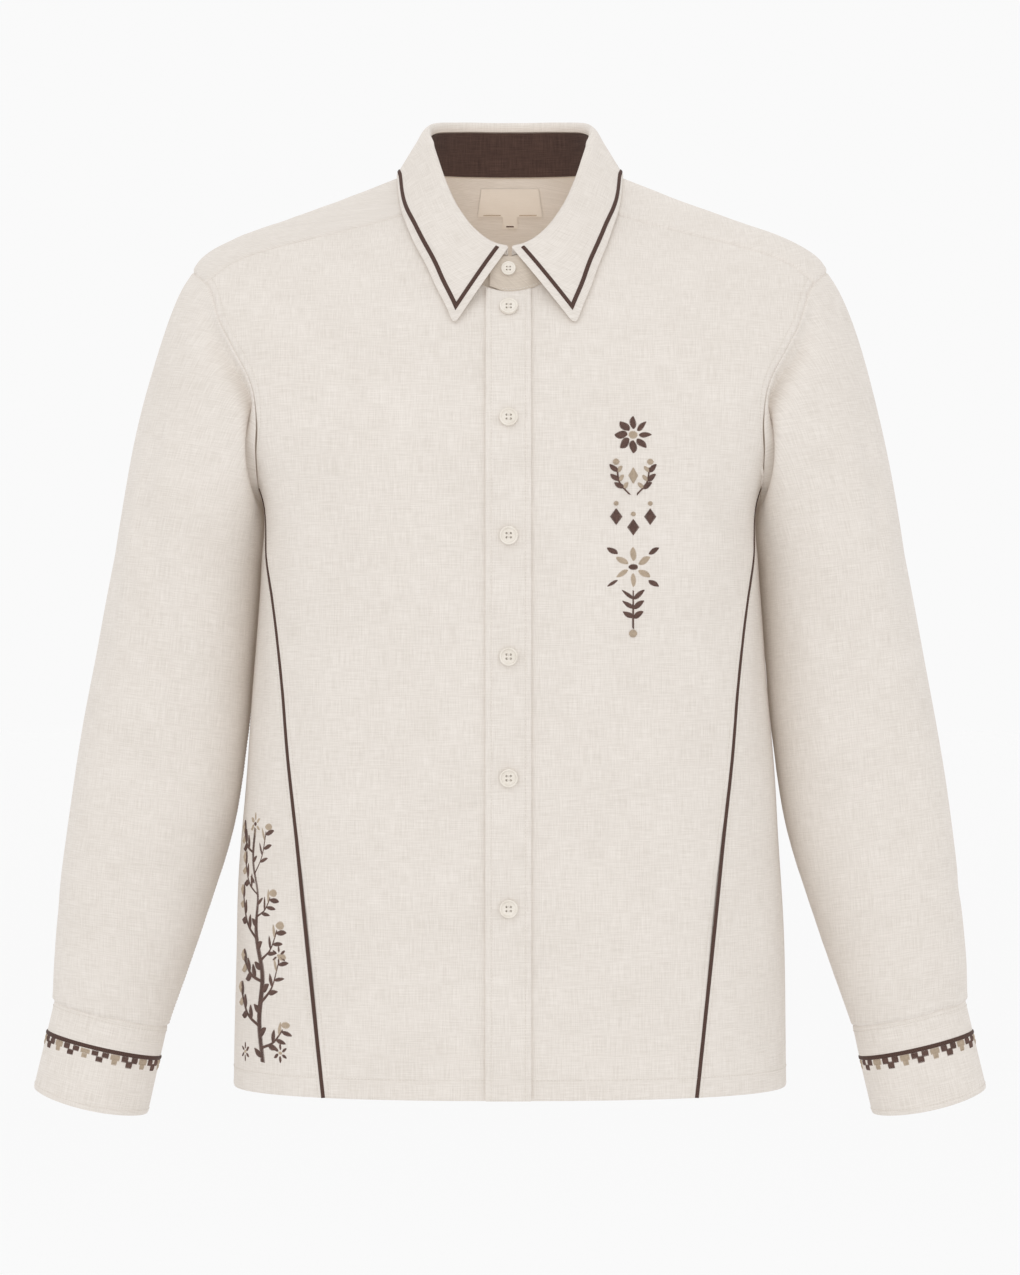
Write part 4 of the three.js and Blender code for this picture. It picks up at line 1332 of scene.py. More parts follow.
def grid_mesh(name: str, grid: Grid, thickness: float, closed: bool = False) -> Piece:
    """Makes the mesh of a piece of cloth.

    Args:
        name: The piece's name.
        grid: Its outer face.
        thickness: Its thickness in millimetres, to the inside.
        closed: Whether its last column is its first one.

    Returns:
        The piece.
    """
    rows, columns = grid.points.shape[:2]
    select_none()
    bpy.ops.mesh.primitive_grid_add(x_subdivisions=columns - 1, y_subdivisions=rows - 1, size=1)
    piece = bpy.context.object
    piece.name = piece.data.name = name
    piece.data.vertices.foreach_set("co", (grid.points * MM).ravel())
    corners = np.empty(len(piece.data.loops), int)
    piece.data.loops.foreach_get("vertex_index", corners)
    layer = piece.data.uv_layers.active
    layer.name = "cloth"
    layer.data.foreach_set("uv", (grid.cut * MM).reshape(-1, 2)[corners].ravel())
    if closed:
        only(piece)
        bpy.ops.object.mode_set(mode="EDIT")
        bpy.ops.mesh.select_all(action="SELECT")
        bpy.ops.mesh.remove_doubles(threshold=0.00005)
        bpy.ops.object.mode_set(mode="OBJECT")
    apply_modifier(piece, "SOLIDIFY", thickness=thickness * MM, offset=-1.0, use_rim=True)
    smooth(piece, 50)
    return piece


class Stamp:
    """A small form, modelled once, of which many copies are joined into one mesh."""

    def __init__(self, model: Piece) -> None:
        """Takes the form from a modelled object, which is then removed.

        Args:
            model: The object, from -0.5 to 0.5 along X, Y and Z.
        """
        mesh = model.data
        self.vertices = np.array([vertex.co[:] for vertex in mesh.vertices])
        self.faces = [list(polygon.vertices) for polygon in mesh.polygons]
        bpy.data.objects.remove(model)

    @classmethod
    def thread(cls, sides: int = 5, cuts: int = 3) -> Stamp:
        """A stitch of thread that lies along X and dives into the cloth at its ends.

        Args:
            sides: How many sides it has.
            cuts: How many cuts it has along its length.

        Returns:
            The stamp.
        """
        select_none()
        turned = (0.0, math.pi / 2, 0.0)
        bpy.ops.mesh.primitive_cylinder_add(vertices=sides, radius=0.5, depth=1, rotation=turned)
        model = bpy.context.object
        bpy.ops.object.transform_apply(location=False, rotation=True, scale=False)
        bpy.ops.object.mode_set(mode="EDIT")
        for share in np.linspace(-0.5, 0.5, cuts + 2)[1:-1]:
            bpy.ops.mesh.select_all(action="SELECT")
            bpy.ops.mesh.bisect(plane_co=(share * 0.84, 0, 0), plane_no=(1, 0, 0))
        bpy.ops.object.mode_set(mode="OBJECT")
        for vertex in model.data.vertices:
            if abs(vertex.co.x) > 0.49:
                vertex.co.y *= 0.6
                vertex.co.z = vertex.co.z * 0.5 - 0.55
        return cls(model)

    def copies(self, name: str, start: Array, end: Array, normal: Array, width: float, height: float) -> Piece:
        """Joins copies of the form into one mesh.

        Args:
            name: The mesh's name.
            start: Where each copy starts.
            end: Where each copy ends.
            normal: Which way is up for each copy.
            width: How wide the copies are.
            height: How high they are.

        Returns:
            The object.
        """
        along = end - start
        aside = unit(np.cross(normal, along)) * width
        upward = unit(np.cross(along, aside)) * height
        frames = np.stack([along, aside, upward], 1)
        points = ((start + end) / 2)[:, None] + self.vertices @ frames
        count = len(self.vertices)
        faces = [[i + copy * count for i in face] for copy in range(len(start)) for face in self.faces]
        mesh = bpy.data.meshes.new(name)
        mesh.from_pydata((points.reshape(-1, 3) * MM).tolist(), [], faces)
        piece = bpy.data.objects.new(name, mesh)
        bpy.context.scene.collection.objects.link(piece)
        smooth(piece, 60)
        return piece


def resample(points: Array, normals: Array, pitch: float) -> tuple[Array, Array, Array]:
    """Points evenly spaced along a line, with the normals and directions at them.

    Args:
        points: The line's points.
        normals: The normals at them.
        pitch: The spacing.

    Returns:
        The points, their normals and the line's directions there.
    """
    run = running(points, 0)
    count = max(int(run[-1] / pitch), 2)
    at = (np.arange(count) + 0.5) * run[-1] / count
    ahead = along_line(points, run, np.minimum(at + 0.4, run[-1]))
    behind = along_line(points, run, np.maximum(at - 0.4, 0))
    return along_line(points, run, at), unit(along_line(normals, run, at)), unit(ahead - behind)


@dataclass
class Stitching:
    """Rows of machine stitches, gathered until they are made into one piece."""

    stamp: Stamp
    pitch: float = 2.7
    length: float = 2.1
    width: float = 0.55
    height: float = 0.5
    seat: float = 0.16
    starts: list[Array] = field(default_factory=list)
    ends: list[Array] = field(default_factory=list)
    normals: list[Array] = field(default_factory=list)

    def run(self, line: tuple[Array, Array]) -> None:
        """Adds a row of stitches along a line of points with their normals.

        Args:
            line: The points and the normals at them.
        """
        points, normals, along = resample(*line, self.pitch)
        seated = points + normals * self.seat
        self.starts.append(seated - along * self.length / 2)
        self.ends.append(seated + along * self.length / 2)
        self.normals.append(normals)

    def make(self, name: str, material: Material) -> None:
        """Makes all the gathered stitches one piece.

        Args:
            name: The piece's name.
            material: Its material.
        """
        tables = [np.concatenate(rows) for rows in (self.starts, self.ends, self.normals)]
        dress(self.stamp.copies(name, *tables, self.width, self.height), material, ())


def braid_grid(points: Array, normals: Array, width: float, height: float, lift: float, pitch: float) -> Grid:
    """The outer face of a flat plaited braid.

    Args:
        points: The braid's middle line on the cloth.
        normals: The normals at them.
        width: The braid's width.
        height: How thick its middle is.
        lift: How far its edges stand off the cloth.
        pitch: The distance from one plait to the next.

    Returns:
        The face, with the places on it measured across and along.
    """
    run = running(points, 0)
    count = int(run[-1] / (pitch / 3))
    at = np.linspace(0, run[-1], count + 1)
    points, normals = along_line(points, run, at), unit(along_line(normals, run, at))
    ahead = np.diff(points, axis=0)
    arriving, leaving = unit(np.vstack([ahead[:1], ahead])), unit(np.vstack([ahead, ahead[-1:]]))
    along = unit(arriving + leaving)
    mitre = 1 / np.maximum(np.sum(along * leaving, -1, keepdims=True), 0.45)
    side = unit(np.cross(normals, along)) * mitre
    u = np.array([1.0, 0.85, 0.5, 0.0, -0.5, -0.85, -1.0])
    crown = height * (1 - np.abs(u) ** 2.6)
    plait = 0.24 * np.abs(np.sin(np.pi * (at[:, None] / pitch + 0.75 * np.abs(u)))) * (1 - u**4)
    rise = lift + crown + plait
    face = points[:, None] + side[:, None] * u[:, None] * width / 2 + normals[:, None] * rise[..., None]
    cut = np.stack(np.broadcast_arrays(u * width / 2, at[:, None]), -1)
    return Grid(face, np.repeat(normals[:, None], len(u), 1), cut)


# ---- Shaders ----


class Socket:
    """A value in a shader, on which Python's operators add Math nodes."""

    def __init__(self, shader: Shader, link: bpy.types.NodeSocket) -> None:
        """Wraps an output socket.

        Args:
            shader: The shader that it belongs to.
            link: The node's output socket.
        """
        self.shader = shader
        self.link = link

    def math(self, operation: str, *others: Socket | float, swapped: bool = False) -> Socket:
        """The result of a Math node on this value and others."""
        values = [self, *others][::-1] if swapped else [self, *others]
        return self.shader.value("ShaderNodeMath", {"operation": operation}, dict(enumerate(values)))

    def __add__(self, other: Socket | float) -> Socket:
        """This value plus another."""
        return self.math("ADD", other)

    __radd__ = __add__

    def __sub__(self, other: Socket | float) -> Socket:
        """This value minus another."""
        return self.math("SUBTRACT", other)

    def __rsub__(self, other: float) -> Socket:
        """A number minus this value."""
        return self.math("SUBTRACT", other, swapped=True)

    def __mul__(self, other: Socket | float) -> Socket:
        """This value times another."""
        return self.math("MULTIPLY", other)

    __rmul__ = __mul__

    def __truediv__(self, other: Socket | float) -> Socket:
        """This value divided by another."""
        return self.math("DIVIDE", other)

    def __abs__(self) -> Socket:
        """This value without its sign."""
        return self.math("ABSOLUTE")

    def sine(self) -> Socket:
        """The sine of this value."""
        return self.math("SINE")

    def clamped(self) -> Socket:
        """This value held between 0 and 1."""
        return self.shader.value("ShaderNodeClamp", {}, {"Value": self})


class Shader:
    """The nodes of a material with one Principled shader."""

    def __init__(self, name: str) -> None:
        """Starts a material.

        Args:
            name: The material's name.
        """
        self.material = bpy.data.materials.new(name)
        self.material.use_nodes = True
        self.tree = self.material.node_tree
        self.principled = next(n for n in self.tree.nodes if n.type == "BSDF_PRINCIPLED")

    def set(self, node: bpy.types.Node, inputs: dict[str | int, object]) -> None:
        """Gives a node's sockets their values or links.

        Args:
            node: The node.
            inputs: The values or links, by socket.
        """
        for name, value in inputs.items():
            if isinstance(value, Socket):
                self.tree.links.new(value.link, node.inputs[name])
            else:
                node.inputs[name].default_value = value

    def finished(self, inputs: dict[str | int, object]) -> Material:
        """The material, once its Principled shader has its values and links."""
        self.set(self.principled, inputs)
        return self.material

    def value(
        self, kind: str, settings: dict[str, object], inputs: dict[str | int, object], output: str | int = 0
    ) -> Socket:
        """Adds a node.

        Args:
            kind: The node's type.
            settings: Its settings, set first.
            inputs: The values or links of its sockets.
            output: The output that is wanted, by name or number.

        Returns:
            That output.
        """
        node = self.tree.nodes.new(kind)
        for name, setting in settings.items():
            setattr(node, name, setting)
        self.set(node, inputs)
        return Socket(self, node.outputs[output])

    def cloth_places(self) -> tuple[Socket, Socket]:
        """Places on the cut cloth.

        Returns:
            The places across and along it, in millimetres.
        """
        uv = self.value("ShaderNodeUVMap", {"uv_map": "cloth"}, {})
        across, along = (self.value("ShaderNodeSeparateXYZ", {}, {0: uv}, output) for output in (0, 1))
        return across * 1000, along * 1000

    def object_places(self) -> Socket:
        """Places in the garment's own frame, in metres."""
        return self.value("ShaderNodeTexCoord", {}, {}, "Object")

    def noise(self, where: tuple[Socket | float, ...] | Socket, scale: float, detail: float = 2.0) -> Socket:
        """Soft noise from 0 to 1, about 0.5.

        Args:
            where: Where it is read.
            scale: How fine it is.
            detail: How rough it is.

        Returns:
            The noise.
        """
        if not isinstance(where, Socket):
            where = self.value("ShaderNodeCombineXYZ", {}, dict(enumerate(where)))
        return self.value("ShaderNodeTexNoise", {}, {"Vector": where, "Scale": scale, "Detail": detail})

    def mix(self, share: Socket, low: Sequence[float], high: Sequence[float]) -> Socket:
        """A colour between two colours.

        Args:
            share: How far it is to the second one.
            low: The first colour.
            high: The second colour.

        Returns:
            The colour.
        """
        settings = {"data_type": "RGBA"}
        inputs = {"Factor": share.clamped(), 6: (*low, 1.0), 7: (*high, 1.0)}
        return self.value("ShaderNodeMix", settings, inputs, 2)

    def bump(self, height: Socket, strength: float, distance: float) -> Socket:
        """The normal of a relief.

        Args:
            height: The relief.
            strength: How strongly it shows.
            distance: Its depth, in metres.

        Returns:
            The normal.
        """
        return self.value(
            "ShaderNodeBump", {}, {"Strength": strength, "Distance": distance, "Height": height}
        )


@dataclass(frozen=True)
class Tinted:
    """A finish with a pale and a deep colour."""

    name: str
    pale: Colour
    deep: Colour

    def material(self) -> Material:
        """Makes the material."""
        raise NotImplementedError


@dataclass(frozen=True)
class Linen(Tinted):
    """Plain-woven cloth with slubs: threads that thicken and thin along their length, both ways.

    Its faint warm glow is painted light: a steady emission that lifts and warms its shade, standing for the light
    that comes through thin cloth.
    """

    pitch: float = 0.62
    slub: float = 1.0
    roughness: float = 0.88
    sheen: float = 0.12
    # painted light: the strength of the cloth's warm emission
    glow: float = 0.06

    def material(self) -> Material:
        """Makes the material.

        Returns:
            The material.
        """
        shader = Shader(self.name)
        x, y = shader.cloth_places()
        warp = shader.noise((x * 1.25, y * 0.055, 3.0), 1.0)
        weft = shader.noise((x * 0.055, y * 1.25, 11.0), 1.0)
        thin_warp = shader.noise((x * 2.8, y * 0.13, 23.0), 1.0)
        thin_weft = shader.noise((x * 0.13, y * 2.8, 31.0), 1.0)
        cloud = shader.noise((x * 0.02, y * 0.02, 5.0), 1.0, 3.0)
        slubs = (warp + weft - 1) * 1.5 + (thin_warp + thin_weft - 1) * 0.9
        tone = slubs * self.slub + (cloud - 0.5) * 0.5 + 0.5
        turn = math.pi / self.pitch
        weave = abs((x * turn + warp * 9 + weft * 3).sine() * (y * turn + weft * 9 + warp * 3).sine())
        height = weave * 0.35 + (warp + weft + thin_warp + thin_weft) * 0.8 * self.slub
        return shader.finished(
            {
                "Base Color": shader.mix(tone - weave * 0.08 + 0.04, self.deep, self.pale),
                "Roughness": self.roughness,
                "Sheen Weight": self.sheen,
                "Sheen Roughness": 0.6,
                "Specular IOR Level": 0.25,
                # painted light: a faint warm emission that lifts the cloth's shade
                "Emission Color": (1.0, 0.82, 0.66, 1.0),
                "Emission Strength": self.glow,
                "Normal": shader.bump(height, 0.55, 0.00022),
            }
        )


@dataclass(frozen=True)
class Thread(Tinted):
    """Twisted cotton thread with a slight sheen."""

    roughness: float = 0.6

    def material(self) -> Material:
        """Makes the material.

        Returns:
            The material.
        """
        shader = Shader(self.name)
        where = shader.object_places()
        strand = shader.noise(where, 900.0, 2.0)
        patch = shader.noise(where, 120.0, 3.0)
        tone = (strand - 0.5) * 1.3 + (patch - 0.5) * 0.9 + 0.5
        return shader.finished(
            {
                "Base Color": shader.mix(tone, self.deep, self.pale),
                "Roughness": self.roughness,
                "Sheen Weight": 0.08,
                "Specular IOR Level": 0.35,
                "Normal": shader.bump(strand, 0.5, 0.0001),
            }
        )


@dataclass(frozen=True)
class Plait(Tinted):
    """The yarn of a flat braid, with a painted highlight: its colour is lighter along the crests where its strands
    stand up.
    """

    pitch: float

    def material(self) -> Material:
        """Makes the material.

        Returns:
            The material.
        """
        shader = Shader(self.name)
        x, y = shader.cloth_places()
        strand = abs(((y / self.pitch + abs(x) * 0.45) * math.pi).sine())
        fibre = shader.noise((x * 3, y * 3, 1.0), 1.0, 3.0)
        return shader.finished(
            {
                # painted highlight: the strand crests are coloured lighter
                "Base Color": shader.mix(strand * 0.7 + (fibre - 0.5) * 0.9 + 0.1, self.deep, self.pale),
                "Roughness": 0.75,
                "Sheen Weight": 0.05,
                "Specular IOR Level": 0.3,
                "Normal": shader.bump(strand + fibre * 0.6, 0.6, 0.00012),
            }
        )


@dataclass(frozen=True)
class Horn(Tinted):
    """Pale horn, clouded and polished."""

    def material(self) -> Material:
        """Makes the material.

        Returns:
            The material.
        """
        shader = Shader(self.name)
        where = shader.object_places()
        cloud = shader.noise(where, 130.0, 4.0)
        fine = shader.noise(where, 1500.0, 2.0)
        return shader.finished(
            {
                "Base Color": shader.mix((cloud - 0.5) * 1.6 + 0.5, self.deep, self.pale),
                "Roughness": cloud * 0.15 + 0.3,
                "Coat Weight": 0.15,
                "Normal": shader.bump(fine, 0.15, 0.00005),
            }
        )


@dataclass(frozen=True)
class Backdrop:
    """A plain pale floor that glows a little."""

    name: str
    colour: Colour
    glow: float = 0.08

    def material(self) -> Material:
        """Makes the material.

        Returns:
            The material.
        """
        shader = Shader(self.name)
        grain = shader.noise(shader.object_places(), 3.0)
        low = tuple(part * 0.99 for part in self.colour)
        return shader.finished(
            {
                "Base Color": shader.mix(grain, low, self.colour),
                "Roughness": 0.95,
                "Specular IOR Level": 0.1,
                "Emission Color": (1, 1, 1, 1),
                "Emission Strength": self.glow,
            }
        )


def made(finish: Tinted) -> Material:
    """A field whose value is this finish's material."""
    return field(default_factory=finish.material)


@dataclass(frozen=True)
class Finishes:
    """The materials of the shirt, made once."""

    linen: Material = made(Linen("linen", (0.745, 0.703, 0.66), (0.62, 0.576, 0.528)))
    # painted shade: a darker copy of the linen for the collar stand, for the shadow under the fall
    shaded: Material = made(Linen("shaded_linen", (0.61, 0.54, 0.462), (0.49, 0.424, 0.355)))
    lining: Material = made(
        Linen("dark_lining", (0.088, 0.05, 0.039), (0.038, 0.02, 0.016), 0.5, 0.8, 0.85, 0.05, 0.0)
    )
    label: Material = made(Linen("label_weave", (0.76, 0.71, 0.65), (0.69, 0.64, 0.58), 0.35, 0.4, 0.6, 0.1))
    braid: Material = made(Plait("dark_braid", (0.105, 0.056, 0.042), (0.038, 0.019, 0.015), 1.7))
    dark_thread: Material = made(Thread("dark_thread", (0.16, 0.088, 0.068), (0.07, 0.037, 0.029)))
    pale_thread: Material = made(Thread("pale_thread", (0.53, 0.425, 0.32), (0.38, 0.3, 0.22)))
    sewing: Material = made(Thread("sewing_thread", (0.78, 0.73, 0.67), (0.62, 0.57, 0.51), 0.7))
    horn: Material = made(Horn("pale_horn", (0.82, 0.77, 0.7), (0.68, 0.62, 0.54)))


# ---- The shirt's pieces ----


@dataclass(frozen=True)
class Cut:
    """The flat size that a piece is cut to, in metres and square metres."""

    width: float
    length: float
    area: float


class Side(Enum):
    """A side of the wearer, with the sign that X has there."""

    LEFT = 1
    RIGHT = -1

    def named(self, name: str) -> str:
        """The name of the piece on this side."""
        return f"{name}_{self.name.lower()}"

    def turned(self, left: Array) -> Array:
        """Points or normals of the left side, brought to this side."""
        return left * np.array([self.value, 1.0, 1.0])

    def grid(self, left: Grid) -> Grid:
        """A piece of the left side, brought to this side."""
        return left if self is Side.LEFT else left.mirrored()


@dataclass
class Workroom:
    """What all the shirt's parts are made with, and the cloth that is made so far."""

    finishes: Finishes
    thread: Stamp
    stitching: Stitching
    grids: dict[str, Grid] = field(default_factory=dict)
    sheets: dict[str, tuple[Piece, Cut, Held]] = field(default_factory=dict)
    trimmings: dict[str, list[Piece]] = field(default_factory=dict)

    def cloth(
        self,
        name: str,
        grid: Grid,
        cut: Cut,
        thickness: float = 1.3,
        held: Held = Held.HUNG,
        closed: bool = False,
        slot: Slot = Slot.LINEN,
        material: Material | None = None,
        weave: str = "cloth",
    ) -> None:
        """Makes a piece of cloth and notes its cut.

        Args:
            name: The node that it stands for.
            grid: Its outer face.
            cut: The flat size that it is cut to.
            thickness: Its thickness in millimetres.
            held: How it is held in its shape.
            closed: Whether its last column is its first one.
            slot: Its material slot; not used.
            material: Its material, if it isn't the plain linen.
            weave: The last word of its name.
        """
        piece = grid_mesh(f"{name}_{weave}", grid, thickness, closed)
        dress(piece, material or self.finishes.linen, [name])
        self.sheets[name] = piece, cut, held
        self.grids[name] = grid

    def sew_on(self, name: str, trimming: Piece) -> None:
        """Notes a piece that is sewn on the named piece of cloth."""
        self.trimmings.setdefault(name, []).append(trimming)

    def stitch(self, name: str, edge: Edge, inset: float, start: float = 0.0, end: float = 1.0) -> None:
        """Runs a row of stitches on the named piece of cloth, beside one of its edges."""
        self.stitching.run(self.grids[name].line(edge, inset, start, end))


FRONT_CREASES = (
    Crease(176, 470, 112, 190, 13, 1.5, 6), Crease(148, 520, 128, 150, 11, 1.0, -5),
    Crease(120, 300, 96, 260, 22, 1.1, 8), Crease(60, 200, 84, 300, 20, 0.9, -6),
    Crease(165, 150, 98, 240, 17, 1.2, 4), Crease(95, 90, 78, 150, 15, 0.8, 4),
    Crease(70, 560, 30, 110, 12, 0.6, 3),
)
OTHER_FRONT_CREASES = (
    Crease(170, 455, 108, 210, 14, 1.4, -6), Crease(140, 540, 132, 130, 10, 1.1, 4),
    Crease(110, 340, 92, 230, 20, 1.0, -7), Crease(50, 130, 99, 220, 17, 1.0, 6),
    Crease(158, 120, 84, 200, 16, 1.0, -5), Crease(84, 580, 24, 100, 11, 0.6, -3),
)
SIDE_CREASES = (
    Crease(230, 330, 88, 240, 15, 1.6, 8), Crease(290, 250, 94, 280, 17, 1.5, -8),
    Crease(330, 120, 84, 180, 14, 1.2, 6), Crease(250, 90, 97, 150, 13, 1.0, -4),
)
BACK_CREASES = (
    Crease(470, 300, 92, 330, 20, 1.7, 10), Crease(560, 220, 88, 300, 18, 1.5, -8),
    Crease(640, 320, 95, 280, 20, 1.6, 9), Crease(520, 470, 60, 140, 13, 1.0, 5),
    Crease(690, 480, 118, 150, 14, 1.1, -5), Crease(600, 90, 90, 160, 16, 1.0, 5),
)
YOKE_CREASES = (
    Crease(420, 640, 150, 120, 13, 0.7, 4), Crease(600, 660, 20, 120, 12, 0.6, -4),
)
SLEEVE_CREASES = (
    Crease(50, 60, 98, 170, 9, 2.2, 4), Crease(76, 10, 95, 150, 8, 1.8, -3),
    Crease(65, 10, 112, 150, 12, 1.6, 7), Crease(30, -45, 96, 170, 13, 1.2, -6),
    Crease(105, -65, 70, 120, 11, 1.5, 5), Crease(65, -180, 24, 130, 10, 1.5, 6),
    Crease(77, -220, -14, 120, 9, 1.3, -5), Crease(20, -260, 18, 110, 10, 1.2, 5),
    Crease(100, -290, -26, 100, 9, 1.1, -4), Crease(40, -350, 78, 130, 11, 1.2, 5),
    Crease(80, -400, 100, 100, 9, 1.3, -4), Crease(-95, -75, 84, 200, 14, 1.4, 7),
    Crease(-75, -225, 160, 120, 11, 1.3, -6), Crease(-125, -315, 96, 150, 12, 1.2, 5),
    Crease(-20, -145, 92, 180, 14, 0.9, 6),
)
OTHER_SLEEVE_CREASES = (
    Crease(46, 50, 96, 160, 9, 2.0, -3), Crease(74, 0, 99, 150, 8, 2.0, 4),
    Crease(61, 0, 106, 170, 13, 1.5, -6), Crease(37, -60, 88, 150, 12, 1.3, 6),
    Crease(97, -85, 116, 130, 11, 1.3, -5), Crease(73, -165, -18, 120, 10, 1.4, 5),
    Crease(51, -205, 22, 140, 10, 1.4, -6), Crease(87, -245, 12, 110, 9, 1.2, 4),
    Crease(27, -295, -22, 110, 10, 1.1, 5), Crease(65, -365, 96, 120, 10, 1.3, -5),
    Crease(35, -410, 82, 90, 9, 1.1, 4), Crease(-105, -95, 98, 190, 13, 1.3, -7),
    Crease(-65, -245, 20, 110, 11, 1.2, 5), Crease(-25, -125, 86, 190, 14, 0.9, -6),
)


@dataclass
class BodyPanels:
    """The fronts, side panels, back, yoke and front band."""

    room: Workroom
    surface: BodySurface
    band_cloth: float = 2.0
    upward: float = 1.8
    seam_rows: int = 15
    armhole_rows: int = 8
    back_armhole_rows: int = 4
    fineness: int = 8
    back_share: float = 7 / 12
    topstitch: float = 6.0
    hem_stitch: float = 15.5
    front_stitch: float = 5.6
    panel_stitch: float = 7.6
    edge_stitch: float = 1.8
    yoke_stitch: float = 4.2
    band_stitch: float = 4.6
    band_left: float = 16.0
    band_right: float = -18.5
    band_lift: float = 2.7
    band_drop: float = 1.2
    front_edges: tuple[float, float] = (10.9, -10.4)

    def height(self, top: float, t: Array) -> Array:
        """The heights of rows, which stand closer together towards the top."""
        return HEM_Z + (top - HEM_Z) * (1 - (1 - np.asarray(t, float)) ** self.upward)

    def long_seam(self, rows: Sequence[Place], at_armhole: float) -> Boundary:
        """A long seam from the hem to the armhole.

        Args:
            rows: Its places from the hem up.
            at_armhole: Where it meets the armhole.

        Returns:
            The seam.
        """
        angle, z = self.surface.armhole(np.array(at_armhole))
        angle_at = Curve([*(row.z for row in rows), z], np.array([*(row.angle for row in rows), angle]))
        return lambda t: np.stack([angle_at(self.height(z, t)), self.height(z, t)], -1)

    def armhole_run(self, start: float, end: float) -> Boundary:
        """A stretch of the armhole."""
        return lambda t: self.surface.armhole(start + (end - start) * np.asarray(t, float))

    def neck_run(self, start: float) -> Boundary:
        """A stretch of the neckline, from an angle to the front yoke seam."""
        return lambda t: self.surface.neck(start + (FRONT_YOKE_NECK_ANGLE - start) * np.asarray(t, float))

    def band_height(self, x: float) -> float:
        """How high the neckline is over this x on the front."""
        return self.surface.neck(self.surface.angle_at_x(x, self.surface.neck_z(0)))[1]

    def yoke_seam(self, t: Array) -> Array:
        """The front yoke seam, from the armhole to the neckline.

        Args:
            t: Shares of the way along it.

        Returns:
            Angles and heights.
        """
        angle, z = self.surface.armhole(np.array(AT_FRONT_YOKE))
        neck = self.surface.neck(np.array(FRONT_YOKE_NECK_ANGLE))
        rows = [Place(z, angle), *FRONT_YOKE_SEAM, Place(neck[1], neck[0])]
        height = z + (neck[1] - z) * np.asarray(t, float)
        return np.stack([curves(rows, "z", ("angle",))["angle"](height), height], -1)

    def upright(self, x: float, heights: Array) -> Array:
        """Places on the front at this x and these heights."""
        return np.stack([self.surface.angle_at_x(x, heights), heights], -1)

    def centre_edge(self, x: float) -> Boundary:
        """The edge of a front, at this x to the wearer's left."""
        top = self.band_height(x)
        return lambda t: self.upright(x, self.height(top, t))

    def front_places(self, edge_x: float) -> Array:
        """The left front, from its centre edge to the long seam, the armhole and the yoke.

        Args:
            edge_x: How far its centre edge is to the left.

        Returns:
            Rows of columns of places.
        """
        up = self.seam_rows + self.armhole_rows
        edge = self.centre_edge(edge_x)
        start = joined(edge, self.neck_run(edge(np.array(1.0))[0]), self.seam_rows / up)
        seam = self.long_seam(FRONT_SEAM, AT_FRONT_SEAM)
        end = joined(seam, self.armhole_run(AT_FRONT_SEAM, AT_FRONT_YOKE), self.seam_rows / up)
        hem = straight(edge(np.array(0.0)), seam(np.array(0.0)))
        u = crowded(9 * self.fineness, 215, near_start=False)
        v = crowded(up * self.fineness, 680)
        return fill(hem, lambda t: self.yoke_seam(1 - t), start, end, u, v)

    def side_places(self) -> Array:
        """The panel under the left arm, from the front seam round to the back seam.

        Returns:
            Rows of columns of places.
        """
        front, back = self.long_seam(FRONT_SEAM, AT_FRONT_SEAM), self.long_seam(BACK_SEAM, AT_BACK_SEAM)
        hem = straight(front(np.array(0.0)), back(np.array(0.0)))
        top = self.armhole_run(AT_FRONT_SEAM, AT_BACK_SEAM)
        u, v = crowded(62, 215), crowded(self.seam_rows * self.fineness, 467)
        return fill(hem, top, front, back, u, v)

    def back_places(self) -> Array:
        """The back, below the yoke.

        Returns:
            Rows of columns of places.
        """
        up = self.seam_rows + self.back_armhole_rows
        seam = self.long_seam(BACK_SEAM, AT_BACK_SEAM)
        left = joined(seam, self.armhole_run(AT_BACK_SEAM, AT_BACK_YOKE), self.seam_rows / up)
        right = other_side(left)
        hem, top = (straight(left(end), right(end)) for end in (np.array(0.0), np.array(1.0)))
        return fill(hem, top, left, right, crowded(136, 460), crowded(up * self.fineness, 590))

    def yoke_places(self) -> Array:
        """The yoke, over both shoulders and across the upper back.

        Returns:
            Rows of columns of places.
        """
        start_place = self.surface.armhole(np.array(AT_BACK_YOKE))
        back = straight(np.array([180.0, start_place[1]]), start_place)
        armhole = self.armhole_run(AT_BACK_YOKE, len(ARMHOLE) + AT_FRONT_YOKE)
        outer = joined(back, armhole, self.back_share)

        def both_sides(edge: Boundary) -> Boundary:
            """An edge of the left half, carried over to the right.

            Args:
                edge: The left half's edge, from the back to the front.

            Returns:
                The whole edge.
            """

            def places(u: Array) -> Array:
                """The places from the right front round the back to the left front.

                Args:
                    u: Shares of the way round.

                Returns:
                    The places.
                """
                half = edge(np.abs(2 * u - 1))
                angle = np.where(u > 0.5, half[..., 0], 360 - half[..., 0])
                return np.stack([angle, half[..., 1]], -1)

            return places

        inner, start = self.neck_run(180), other_side(self.yoke_seam)
        u, v = crowded(24 * self.fineness, 620), crowded(42, 130)
        return fill(both_sides(outer), both_sides(inner), start, self.yoke_seam, u, v)[:, ::-1]

    def band_places(self) -> Array:
        """The front band.

        Returns:
            Rows of columns of places.
        """
        u, v = crowded(10, 34.5), crowded(self.seam_rows * self.fineness, 616)
        across = self.band_right + (self.band_left - self.band_right) * u
        columns = [self.upright(x, self.height(self.band_height(x) - self.band_drop, v)) for x in across]
        return np.stack(columns, 1)

